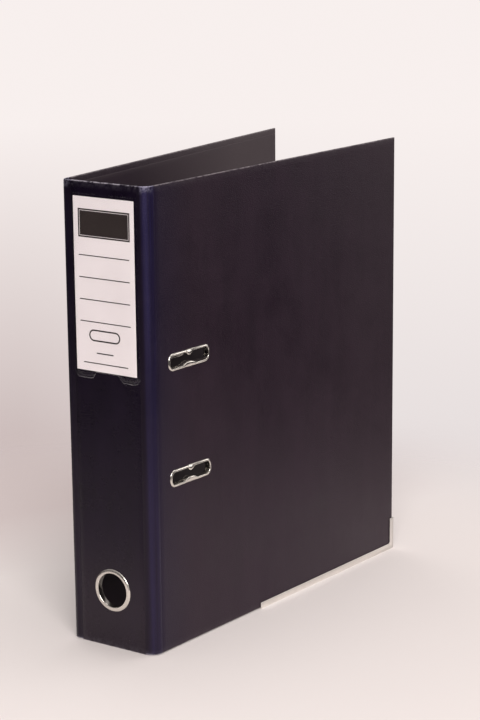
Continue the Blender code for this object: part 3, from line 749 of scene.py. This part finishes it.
def hinge_band(name, node, side, joint, painted_sheen, seed):
    """The covering's band, bent between spine and cover, with streaks, a crumpled top and a painted
    bluish highlight along its bend.
    """
    low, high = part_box(node)
    splay, body = splay_of(joint), JOINTS[joint]["child"]
    turn = pi / 2 - splay
    per_bend = tan((pi / 2 + splay) / 2)
    inset = SPINE_HALF + HINGE - side * JOINTS[joint]["pos_m"][0]
    bend = inset / (1 - per_bend * sin(turn / 2))
    radius = bend * per_bend
    margin = HINGE - bend
    run = margin * 2 + radius * turn
    fade, crumpled, brightened = mm(1.5, 11, 6)

    def line(distance):
        """The outer face's point that far round from the spine board, and the way inwards."""
        if distance < margin:
            return Vector((SPINE_HALF + distance, SPINE_LOW.y, 0)), Vector((0, 1, 0))
        angle = (distance - margin) / radius
        if angle < turn:
            outwards = Vector((sin(angle), -cos(angle), 0))
            centre = Vector((SPINE_HALF + margin, SPINE_LOW.y + radius, 0))
            return centre + radius * outwards, -outwards
        along = Vector((sin(splay), cos(splay), 0))
        corner = Vector((SPINE_HALF + HINGE, SPINE_LOW.y, 0))
        past = bend + distance - margin - radius * turn
        return corner + along * past, Vector((-along.y, along.x, 0))

    def place(distance, z, face):
        top, foot = high.z - z, z - low.z
        share = min(edge_profile(top / EDGE), edge_profile(foot / EDGE))
        ends = ease(distance / fade) * ease((run - distance) / fade)
        streak = 0.085 * MM * ends * roll(distance, z * 0.014, 640, seed)
        fold = 0.10 * MM * ends * roll(distance, z * 0.05, 230, seed + 1)
        crumple = 0.42 * MM * ends * ease(1 - top / crumpled)
        crumple *= roll(distance * 1.6, z, 210, seed + 3)
        point, inwards = line(distance)
        depth = STRIP / 2 + (STRIP / 2) * share * (1 if face else -1)
        point = point + inwards * (depth - streak - fold - crumple)
        return Vector((side * point.x, point.y, z))

    columns = [run * i / 54 for i in range(55)]
    rows = stops(low.z, high.z, EDGE, EDGE, 2.5 * MM)
    extra = [high.z - 12 * MM + 0.8 * MM * i for i in range(1, 14)]  # finer rows over the crumpling
    rows = sorted([z for z in rows if z < extra[0] - 1 * MM or z > extra[-1] + 0.2 * MM] + extra)
    obj = piece(name, closed_grid(name, columns, rows, place), "hinge", None, [node])
    marks = {"edge": [], "round": [], "bend_sheen": []}
    for vertex in obj.data.vertices:
        x, y, z = vertex.co
        share = min(1, max(0, (abs(x) - SPINE_HALF + y - SPINE_LOW.y) / (2 * HINGE)))
        rim = ease(1 - min(high.z - z, z - low.z) / (0.9 * MM))
        # pale wear at the rims, and crumpled scuffs near the top that also paint the glints where
        # the crumples catch the light
        marks["edge"].append(max(rim, 0.6 * ease(1 - (high.z - z) / brightened) * sin(pi * share)))
        marks["round"].append(0.3 * ease((share - 0.75) / 0.25) if side > 0 else 0)
        # painted highlight: a bluish sheen over the middle of the bend, stronger towards the top
        lift = 0.55 + 0.65 * ease((z - 0.18) / 0.10)
        across = ease((share - 0.10) / 0.30) * (1 - 0.25 * ease((share - 0.82) / 0.18))
        marks["bend_sheen"].append(painted_sheen * lift * across)
    store(obj, marks)
    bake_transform(obj)


hinge_band("front_hinge_band", "front_hinge_strip", 1, "front_cover_hinge", 0.9, 3.1)
hinge_band("rear_hinge_band", "rear_hinge_strip", -1, "rear_cover_hinge", 0.12, 6.4)


# ---------------- metal rims

INSIDE = BOARD + GAP + 0.3 * MM + GAP
BACKING = 0.4 * MM
TUBE_END = INSIDE + BACKING


def eyelet_section(flange, steps=7):
    """An eyelet's (growth, depth, share of the nib) along tube, lip, domed flange and flare."""
    lip, crest, rest = mm(0.5, 0.95, 0.04)
    out = [(0, TUBE_END, 1), (0, 0.6 * MM, 1)]
    for i in range(steps + 1):
        t = pi / 2 * i / steps
        out.append((lip * (1 - cos(t)), lip - crest - lip * sin(t), 1 - 0.25 * i / steps))
    for i in range(1, steps + 1):
        t = pi / 2 * i / steps
        grow = lip + (flange - lip) * sin(t)
        out.append((grow, -rest - (crest - rest) * cos(t), 0.75 * (1 - i / steps)))
    out += [(flange - 0.3 * MM, 0.0, 0), (TUBE_WALL + 0.2 * MM, -0.3 * MM, 0.6),
            (TUBE_WALL, 0.2 * MM, 1)]
    flare = offsets(TUBE_WALL, TUBE_END, ((0, 0), (0.9, 0.02), (1.0, 0.25), (0, 0.42)))
    out += [(*point, share) for point, share in zip(flare, (1, 0.6, 0.6, 1))]
    return out + [(0.15 * MM, TUBE_END + 0.3 * MM, 1)]


def washer_section(flange):
    inner = TUBE_WALL + PLAY
    edge, under = 0.12 * MM, INSIDE - 0.2 * MM
    return [(inner, under, 1), (flange, under, 0), (flange, TUBE_END - edge, 0),
            (flange - edge, TUBE_END, 0), (inner, TUBE_END, 1)]


def metal_rims(name, rim_node, backing_node, outline, flange, spread, body, axes):
    """An eyelet and the washer behind it, whose outline(grow, share) follows their sections."""
    for part, node, section in (("eyelet", rim_node, eyelet_section(flange)),
                                ("washer", backing_node, washer_section(flange + spread))):
        loops = [(outline(grow, share), depth) for grow, depth, share in section]
        mesh = lofted_rim(part, loops)
        piece(f"{name}_{part}", mesh, "nickel", body, [node], axes, 50)


def slot_outline(at):
    return lambda grow, share: shifted(slot_loop(grow, share), at.x, at.z)


for label, at in SLOTS.items():
    metal_rims(f"{label}_slot", f"{label}_slot_rim", f"{label}_slot_backing", slot_outline(at),
               SLOT_FLANGE, 0.8 * MM, "front_cover", FRONT)
metal_rims("finger", "finger_ring", "finger_ring_backing",
           lambda grow, _: ring_loop(0, RING_HEIGHT, RING_BORE + grow, 72),
           RING_FLANGE, 1 * MM, "spine", SPINE)


# ---------------- edge shoes

def edge_shoe(name, node, axes, body):
    """A folded steel channel over a board's foot that turns up the fore edge, its folds rounded."""
    low, high = local_box(node, axes)
    sheet, rise, chamfer, fillet = mm(0.4, 4.5, 0.8, 1.2)
    inner_end = high.x - rise
    outline = [(low.x, 0), (high.x - chamfer, 0), (high.x, chamfer), (high.x, high.z),
               (inner_end, high.z), (inner_end, rise + fillet), (inner_end - fillet, rise),
               (low.x, rise)]
    mesh = flat(name, [outline], low.y, high.y)
    room = box_loop((low.x - 1 * MM, sheet), (high.x - sheet, high.z + 1 * MM))
    mesh = softened(pierced(mesh, [room], low.y + sheet, high.y - sheet), 0.17 * MM, 30)
    piece(name, mesh, "rail", body, [node], axes, 40)


edge_shoe("front_shoe", "front_edge_shoe", FRONT, "front_cover")
edge_shoe("rear_shoe", "rear_edge_shoe", REAR, "rear_cover")


# ---------------- spine label and its pocket

CARD_FACE = -0.78 * MM
CARD_HALF = 0.13 * MM
CARD_EDGE = 0.1 * MM
INK = 0.02 * MM
INK_STAND = 0.035 * MM


def spine_label():
    """The label card and its print: a framed band, ruled lines, a lozenge and two rules."""
    low, high = local_box("spine_label", SPINE)

    def bow(u, z):
        return -0.10 * MM * sin(pi * (z - low.z) / (high.z - low.z)) + 0.04 * MM * roll(u, z, 25, 3)

    def place(u, z, side):
        half = CARD_HALF * edge_profile(min(edge_gaps(u, z, low, high)) / CARD_EDGE)
        return Vector((u, CARD_FACE + CARD_HALF + bow(u, z) + half * (1 if side else -1), z))

    mesh = face_grid("label_card", low, high, [CARD_EDGE] * 4, 3 * MM, place)
    piece("label_card", mesh, "card", "spine", ["spine_label"], SPINE)

    def printed(loops):
        """A print laid on the bowed card."""
        mesh = with_modifier(flat("print", loops, -INK, 0.0), "TRIANGULATE")
        work = bmesh.new()
        work.from_mesh(mesh)
        long_edges = [edge for edge in work.edges if edge.calc_length() > 8 * MM]
        bmesh.ops.subdivide_edges(work, edges=long_edges, cuts=6, use_grid_fill=False)
        for vertex in work.verts:
            u, q, z = vertex.co
            vertex.co.y = q + CARD_FACE + bow(u, z) - INK_STAND
        work.to_mesh(mesh)
        work.free()
        return mesh

    def panel(low_corner, high_corner, radius=0):
        """A box from millimetres."""
        return box_loop(*offsets(0, 0, (low_corner, high_corner)), radius * MM)

    left, right = low.x + 4 * MM, high.x - 3.4 * MM
    band_low, band_high = high.z - 27 * MM, high.z - 8 * MM
    frame_width, line, pitch = mm(1.0, 0.34, 14.8)
    frame_outer, frame_inner, band = [
        box_loop((left + inset, band_low + inset), (right - inset, band_high - inset))
        for inset in (0, frame_width, frame_width + line)]
    prints = [[frame_outer, frame_inner], [band]]
    for i in range(4):
        z = high.z - 39 * MM - pitch * i
        prints.append([box_loop((left, z - line), (right - 0.8 * MM, z + line))])
    prints += [[panel((-14, 213.5), (12, 221.5), 4), panel((-13, 214.5), (11, 220.5), 3)],
               [panel((-8, 205.2), (6, 206.0))], [panel((-19, 198.2), (18, 198.9))]]
    piece("label_print", joined(*map(printed, prints)), "ink", "spine", axes=SPINE)


spine_label()


def label_pocket():
    """The clear pocket: welded sides and foot, an open top, and a thumb notch in its foot."""
    low, high = local_box("label_pocket", SPINE)
    weld, notch, notch_rise, corner = mm(1.6, 13, 4.6, 5)
    bead_width = 0.35 * MM

    def foot(u):
        rise = notch_rise * ease((notch - abs(u)) / (4 * MM))
        beyond = max(0.0, corner - (u - low.x), corner - (high.x - u))
        return low.z + rise + corner - sqrt(max(0.0, corner ** 2 - beyond ** 2))

    def place(u, t, side):
        start = foot(u)
        z = start + (high.z - start) * t
        gap = min(u - low.x, high.x - u)
        gap_foot = z - start
        hem = min(gap, gap_foot)
        inner = weld * 0.6
        swell = 1.02 * MM * ease((gap - inner) / (2.2 * MM)) * ease((gap_foot - inner) / (4.4 * MM))
        bead = 0.10 * MM * exp(-((hem - weld * 0.45) / bead_width) ** 2)
        top = ease(1 - (high.z - z) / (24 * MM))
        right = ease(1 - (high.x - u) / (9 * MM))
        wrinkle = 0.30 * MM * top * right * roll(u, z * 0.6, 260, 11)
        wrinkle += 0.05 * MM * roll(u, z, 40, 13)
        wrinkle *= ease(hem / (2 * MM))
        half = 0.05 * MM * edge_profile(min(hem, high.z - z) / (0.1 * MM))
        return Vector((u, -(0.12 * MM + swell + bead + wrinkle) + half * (1 if side else -1), z))

    columns = stops(low.x, high.x, weld, weld, 1.2 * MM)
    rows = stops(0, 1, 0.02, 0.004, 0.012)
    mesh = closed_grid("label_pocket_film", columns, rows, place)
    obj = piece("label_pocket_film", mesh, "film", "spine", ["label_pocket"], SPINE, 60)
    marks = []
    for vertex in obj.data.vertices:
        u, z = vertex.co.x, vertex.co.z
        side, hem = min(u - low.x, high.x - u, high.z - z), z - foot(u)
        marks.append(max(ease(1 - hem / (0.7 * MM)), 0.3 * ease(1 - side / (0.5 * MM)),
                         0.1 * exp(-((min(side, hem) - weld) / bead_width) ** 2)))
    store(obj, {"edge": marks})


label_pocket()


# ---------------- mechanism, in the rear cover's axes

PLATE_LOW, PLATE_HIGH = local_box("base_plate", REAR)
SEAT = PLATE_LOW.y
PLATE = 1.0 * MM
PLATE_TOP = SEAT + PLATE
ARCH_AXIS, LEVER_AXIS, ROLLER_AXIS = [REAR.inverted() @ Vector(JOINTS[name]["pos_m"]) for name in
                                      ("arch_pivot", "lever_pivot", "roller_spin")]
MIDDLE = LEVER_AXIS.z
SPACING = SLOTS["upper"].z - SLOTS["lower"].z
WIRE = 1.8 * MM
POST_AT = {label: middle_of(f"{label}_post", REAR) for label in ("upper", "lower")}
POST_U = POST_AT["upper"].x
ARCH_RADIUS = (POST_U - ARCH_AXIS.x) / 2
ARCH_TOP = local_box("arch_wire", REAR)[1].y
TIP_CONE = radians(60)
DISH = WIRE / tan(TIP_CONE)
PRESSED = 0.2 * MM  # rounding of pressed edges
AXLE, AXLE_HOLE, ROLLER_PIN, ROLLER_PIN_HOLE, ROLLER_BORE = mm(1.5, 1.55, 1.2, 1.25, 1.3)


def pair(name, loops, away, thick):
    """Two like sheets at the same distance above and below the middle."""
    return [flat(name, loops, z - thick / 2, z + thick / 2, PRESSED, FACE_QU)
            for z in (MIDDLE + away, MIDDLE - away)]


def rib(u, z0, z1, width, rise):
    """A stiffening rib with rounded ends, pressed up from the plate."""
    points, faces = [], []
    across, along = 8, 26
    base = PLATE_TOP - 0.1 * MM
    for i in range(along + 1):
        z = z0 + (z1 - z0) * i / along
        end = min(z - z0, z1 - z)
        taper = sqrt(max(0.0, 1 - (1 - min(1, end / (width * 0.9))) ** 2))
        for k in range(across + 1):
            t = pi * k / across
            points.append(Vector((u - width * taper * cos(t), base + rise * taper * sin(t), z)))
    for i in range(along):
        for k in range(across):
            a = i * (across + 1) + k
            faces.append((a, a + 1, a + across + 2, a + across + 1))
    return with_modifier(mesh_of("rib", points, faces), "SOLIDIFY", thickness=0.15 * MM, offset=0)


def base_plate():
    """The pressed base plate with its lever ears, shaft straps, ribs and windows."""
    low, high = PLATE_LOW, PLATE_HIGH
    crank_window = box_loop(*offsets(0, MIDDLE, ((22, -15.4), (42, 15.4))), 2.4 * MM)
    spring_window = box_loop(*offsets(0, MIDDLE, ((21.4, 18.4), (29.6, 25.8))), 1 * MM)
    posts = [ring_loop(POST_U, at.z, WIRE + 0.05 * MM) for at in POST_AT.values()]
    rivets = [ring_loop(at.x, at.z, 1.65 * MM) for at in RIVETS]
    outline = box_loop((low.x, low.z), (high.x, high.z), 6 * MM)
    loops = [outline, crank_window, spring_window] + posts + rivets
    parts = [flat("base_plate", loops, SEAT, PLATE_TOP, 0.22 * MM)]
    # each rib's place across the plate, its two ends from the middle, its width and its rise
    for ribbed in ((41.5, 40, 66, 2.2, 0.9), (41.5, -66, -40, 2.2, 0.9), (49.6, -62, 62, 1.5, 0.6)):
        u, near, far, width, rise = mm(*ribbed)
        parts.append(rib(u, MIDDLE + near, MIDDLE + far, width, rise))

    foot = PLATE_TOP - 0.4 * MM
    lever_q, lever_u = LEVER_AXIS.y, LEVER_AXIS.x
    ear = [(foot, lever_u - 5 * MM)] + arc(lever_q, lever_u, 4.2 * MM, range(-75, 76, 6))
    ear.append((foot, lever_u + 9 * MM))
    parts += pair("ear", [ear, ring_loop(lever_q, lever_u, AXLE_HOLE)], 17.5 * MM, 1.2 * MM)
    shaft_q, shaft_u = ARCH_AXIS.y, ARCH_AXIS.x
    inner, outer = WIRE + 0.12 * MM, WIRE + GAP + PLATE
    strap = [(foot, shaft_u - outer)] + arc(shaft_q, shaft_u, outer, range(-90, 91, 9))
    strap += [(foot, shaft_u + outer), (foot, shaft_u + inner)]
    strap += arc(shaft_q, shaft_u, inner, range(90, -91, -9)) + [(foot, shaft_u - inner)]
    parts += pair("strap", [strap], 30 * MM, 8 * MM)
    piece("mechanism_plate", joined(*parts), "nickel", "rear_cover", ["base_plate"], REAR, 42)


base_plate()

# fixed posts and rivets
POST_TIP = local_box("upper_post", REAR)[1].y
POST_FOOT = PLATE_TOP + 0.02 * MM
POST_SHANK = WIRE - 0.05 * MM
FLUSH = 0.02 * MM
for label, at in POST_AT.items():
    profile = offsets(0, POST_TIP, ((0, 0), (0.25, -0.12), (2.0, -1.14), (2.1, -1.3)))
    collar = (2.1, 1.3), (2.35, 1.05), (3.4, 1.0), (3.6, 0.8), (3.6, 0.1), (3.4, 0)
    profile += offsets(0, POST_FOOT, collar)
    profile += [(POST_SHANK, POST_FOOT), (POST_SHANK, SEAT), (0, SEAT)]
    mesh = lathe("post", profile, (POST_U, 0, at.z), (0, 1, 0), 48)
    piece(f"{label}_fixed_post", mesh, "nickel", "rear_cover", [f"{label}_post"], REAR)

for i, at in enumerate(RIVETS, 1):
    crown = dome(4.2 * MM, -FLUSH, -1.2 * MM, 8)
    profile = [(0, crown[-1][1])] + crown[-2::-1] + [(1.6 * MM, -FLUSH)]
    profile += [(radius * MM, PLATE_TOP + FLUSH) for radius in (1.6, 2.7)]
    staked = (2.9, 0.3), (2.7, 0.85), (2.0, 1.05), (1.1, 0.95), (0.8, 0.5), (0, 0.4)
    profile += offsets(0, PLATE_TOP, staked)
    mesh = lathe("rivet", profile, (at.x, 0, at.z), (0, 1, 0))
    piece(f"plate_rivet_{i}", mesh, "nickel", "rear_cover", [f"rivet_{i}"], REAR)


def arch():
    """One bent wire: two arches, the shaft under the straps and the crank under the roller."""
    crank, crank_half, corner = mm(12, 13, 2.6)
    top = ARCH_TOP - WIRE - ARCH_RADIUS - ARCH_AXIS.y
    leg = SPACING / 2
    corners = [(crank, 0, 0), (crank, 0, crank_half), (0, 0, crank_half), (0, 0, leg),
               (0, top, leg)]
    half = rounded(corners, corner)[:-1]
    for i in range(41):
        t = pi * i / 40
        half.append(Vector((ARCH_RADIUS * (1 - cos(t)), top + ARCH_RADIUS * sin(t), leg)))
    half.append(Vector((2 * ARCH_RADIUS, top - 3 * MM, leg)))
    other = [Vector((p.x, p.y, -p.z)) for p in half]
    path = [ARCH_AXIS + p for p in other[::-1] + half[1:]]
    mesh = sweep("arch", path, WIRE, 24, DISH)
    piece("arch_bent_wire", mesh, "nickel", "arch", ["arch_wire"], REAR, 50)


def spring():
    """The torsion spring: a leg on the plate, the coil round the shaft, a leg on the crank."""
    start, end, coil, steel = mm(24.9, 19.4, 2.9, 0.6)
    turns, per_turn = 4.5, 40
    path = [Vector((u, q - ARCH_AXIS.y, start)) for u, q in (mm(-7, 4.8), mm(-4.4, 4.9))]
    steps = int(turns * per_turn)
    for i in range(steps + 1):
        t = radians(-100) - 2 * pi * turns * i / steps
        path.append(Vector((coil * sin(t), coil * cos(t), start + (end - start) * i / steps)))
    path.append(path[-1] + Vector(mm(0, -0.4, -0.9)))
    path += [Vector(mm(*at)) for at in ((2.7, -2.0, 16.2), (2.9, -2.55, 14.6), (3.4, -2.75, 9.5))]
    mesh = sweep("spring", [ARCH_AXIS + p for p in path], steel, 12)
    obj = piece("arch_torsion_spring", mesh, "spring", None, ["arch_spring"], REAR, 50)
    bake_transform(obj)


arch()
spring()


def lever():
    """The lever's pressed thumb piece and its two cheeks."""
    lean = radians(44)
    reach, heel, tip_half, cheek_half, cheek, sheet = mm(40, 3, 7, 9.5, 1.0, 1.2)
    along = Vector((-cos(lean), sin(lean), 0))
    across = Vector((sin(lean), cos(lean), 0))
    count, side_steps = 60, 6
    stations = []
    for i in range(count + 1):
        t = i / count
        run = -heel + (reach + heel) * t
        dip = sin(pi * min(1, max(0, (t - 0.15) / 0.7)))
        lift = 3.6 * MM - 2.6 * MM * dip + 2.5 * MM * max(0, t - 0.8) / 0.2
        half = cheek_half - (cheek_half - tip_half) * ease((t - 0.3) / 0.25)
        left = reach - run
        if left < tip_half:
            half = sqrt(max(0.0, tip_half ** 2 - (tip_half - left) ** 2)) * 0.92 + 0.5 * MM
        stations.append((LEVER_AXIS + along * run + across * lift, half))
    ring = []
    for side in (1, -1):
        for k in range(side_steps + 1):
            t = pi * (k / side_steps - 0.5 * side)
            ring.append((side, cos(t), sin(t)))
    points = []
    for i, (centre, half) in enumerate(stations):
        before, after = stations[max(0, i - 1)][0], stations[min(count, i + 1)][0]
        ahead = (after - before).normalized()
        normal = Vector((-ahead.y, ahead.x, 0)) * (sheet / 2)
        for side, out, up in ring:
            z = side * (half - sheet / 2) + out * sheet / 2
            points.append(centre + normal * up + Vector((0, 0, z)))
    wide = len(ring)
    faces = skin(count + 1, wide)
    faces.append(tuple(range(wide))[::-1])
    faces.append(tuple(count * wide + k for k in range(wide)))
    parts = [tidy(mesh_of("lever", points, faces))]

    # a cheek's outline, as (Q, U) from the lever's axle: round the roller's pin, then along the
    # thumb piece
    drop = 11 * MM
    loop = arc(-drop, 0, 2.9 * MM, range(75, 286, 7))
    for run, lift in ((2, -4.0), (10, -1.4), (19, 0.9), (10, 1.6), (2, 3.4), (-3, 3.4)):
        p = along * run * MM + across * lift * MM
        loop.append((p.y, p.x))
    q, u = LEVER_AXIS.y, LEVER_AXIS.x
    loops = [shifted(loop, q, u), ring_loop(q, u, AXLE_HOLE),
             ring_loop(q - drop, u, ROLLER_PIN_HOLE)]
    parts += pair("cheek", loops, cheek_half - cheek / 2, cheek)
    piece("lever_pressing", joined(*parts), "nickel", "lever", ["lever"], REAR, 42)


lever()


def headed_pin(name, node, at, radius, head_radius, body):
    """A pin between two domed, peened heads."""
    low, high = local_box(node, REAR)
    half, thick = (high.z - low.z) / 2, 0.8 * MM
    head = dome(head_radius, half - thick, thick, 7)
    end = [(0, head[-1][1])] + head[-2::-1] + [(radius, half - thick)]
    profile = end + [(r, -h) for r, h in reversed(end)]
    piece(name, lathe(name, profile, at, (0, 0, 1)), "zinc", body, [node], REAR)


headed_pin("lever_axle", "lever_pin", LEVER_AXIS, AXLE, 2.6 * MM, "rear_cover")
headed_pin("roller_axle", "roller_pin", ROLLER_AXIS, ROLLER_PIN, 2.1 * MM, "lever")


def roller():
    """The roller, with eased rims and a shallow groove round its middle."""
    low, high = local_box("roller", REAR)
    half, radius = (high.z - low.z) / 2, (high.x - low.x) / 2
    soft, groove = mm(0.4, 0.15)
    end = [(ROLLER_BORE, half), (radius - soft, half), (radius, half - soft), (radius, 0.6 * MM),
           (radius - groove, 0.4 * MM)]
    profile = end + [(r, -h) for r, h in reversed(end)]
    mesh = lathe("roller", profile, ROLLER_AXIS, (0, 0, 1), 48)
    piece("arch_roller", mesh, "zinc", "roller", ["roller"], REAR)


roller()


def compressor():
    """The lipped bar that holds the sheets down, with rounded folds and ends."""
    low, high = local_box("compressor_bar", REAR)
    sheet, corner, inner_corner, beyond = mm(1.0, 3.2, 2.2, 1)
    bar = flat("bar", [box_loop((low.x, low.z), (high.x, high.z), corner)], low.y, high.y)
    room = box_loop((low.x + sheet, low.z + sheet), (high.x - sheet, high.z - sheet), inner_corner)
    ends = box_loop((low.x + 2.4 * MM, low.z - beyond), (high.x - 2.4 * MM, high.z + beyond))
    bar = pierced(bar, [room, ends], low.y + sheet, 2 * high.y - low.y)
    posts = [ring_loop(POST_U, at.z, 2.45 * MM, 36) for at in POST_AT.values()]
    bar = softened(pierced(bar, posts, low.y - beyond, low.y + 2 * MM), 0.28 * MM, 40)
    piece("compressor_rail", bar, "nickel", "compressor", ["compressor_bar"], REAR, 42)


compressor()


# ---------------- studio

# the view's yaw, pitch and roll, and where it is seen from
YAW, PITCH, ROLL = radians(34.787), radians(13.479), radians(-0.559)
SEEN_FROM = (0.86310, -1.08951, 0.53324)
LENS = 107.72


def studio_floor():
    """A pale round floor with a painted shadow behind to the left, that fades out towards its rim.
    """
    work = bmesh.new()
    bmesh.ops.create_circle(work, cap_ends=True, cap_tris=True, segments=96, radius=3.0)
    mesh = bpy.data.meshes.new("studio_floor")
    work.to_mesh(mesh)
    work.free()
    paint = Paint("studio_floor")
    # painted shadow: darker behind to the left, where the object's soft shadow falls
    back_left = paint.dot(paint.coords, (-0.90, 0.42, 0.0))
    pale, shaded = (0.765, 0.710, 0.695), (0.650, 0.565, 0.557)
    colour = paint.mix(paint.span(back_left, 0.17, 0.31), pale, shaded)
    far = paint.add("VectorMath", {0: paint.coords}, operation="LENGTH").outputs["Value"]
    fade = paint.span(far, 0.28, 0.68, 1.0, 0.0, interpolation_type="SMOOTHERSTEP")
    mesh.materials.append(paint.done(colour, 0.7, (), {"Specular IOR Level": 0.25, "Alpha": fade}))
    obj = placed("studio_floor", mesh)


def studio_world():
    """Pale to the eye, dimmer as light, so that the soft boxes shape the object."""
    world = bpy.data.worlds.new("studio")
    bpy.context.scene.world = world
    world.use_nodes = True
    nodes = Nodes(world.node_tree)
    nodes.tree.nodes.clear()
    ray = nodes.add("TexCoord").outputs["Generated"]
    height = nodes.add("SeparateXYZ", {"Vector": ray}).outputs["Z"]
    across = nodes.dot(ray, (cos(YAW), sin(YAW), 0))
    # painted shadow: the backdrop seen low on the left is darker, where the object's soft shadow
    # falls
    low = nodes.mix(nodes.span(across, -0.10, 0.06), (0.60, 0.505, 0.495), (0.80, 0.74, 0.735))
    seen = nodes.mix(nodes.span(height, -0.265, -0.125), low, (0.935, 0.868, 0.852))
    room = nodes.mix(nodes.span(height, -0.1, 0.9), (0.060, 0.054, 0.058), (0.52, 0.49, 0.48))
    pale, dim = [nodes.add("Background", {"Color": colour}).outputs[0] for colour in (seen, room)]
    camera_ray = nodes.add("LightPath").outputs["Is Camera Ray"]
    shown = nodes.add("MixShader", {0: camera_ray, 1: dim, 2: pale}).outputs[0]
    nodes.add("OutputWorld", {"Surface": shown})


def soft_box(name, place, aim, size, watts):
    light = bpy.data.lights.new(name, "AREA")
    light.shape = "RECTANGLE"
    light.size, light.size_y = size
    light.energy = watts
    light.color = (1.0, 0.97, 0.95)
    obj = placed(name, light)
    obj.location = place
    obj.rotation_euler = (Vector(aim) - Vector(place)).to_track_quat("-Z", "Y").to_euler()
    obj.visible_camera = False


studio_floor()
studio_world()
soft_box("key_box", (1.4, -1.5, 1.45), (0.0, 0.12, 0.12), (1.4, 1.4), 56)
soft_box("top_box", (0.2, 0.6, 2.1), (0.0, 0.15, 0.0), (1.6, 1.6), 15)
soft_box("edge_box", (1.2, 1.7, 0.6), (0.0, 0.28, 0.2), (0.9, 0.7), 4.5)
soft_box("back_box", (-1.8, 1.1, 0.45), (-0.05, 0.15, 0.2), (1.2, 0.8), 8)

camera_data = bpy.data.cameras.new("camera")
camera_data.lens = LENS
camera_data.sensor_width = 36
camera_data.clip_end = 100
camera = placed("camera", camera_data)
turn = Matrix.Rotation(YAW, 4, "Z") @ Matrix.Rotation(pi / 2 - PITCH, 4, "X")
camera.matrix_world = Matrix.Translation(SEEN_FROM) @ (turn @ Matrix.Rotation(ROLL, 4, "Z"))
bpy.context.scene.camera = camera
bpy.context.scene.view_settings.view_transform = "Standard"
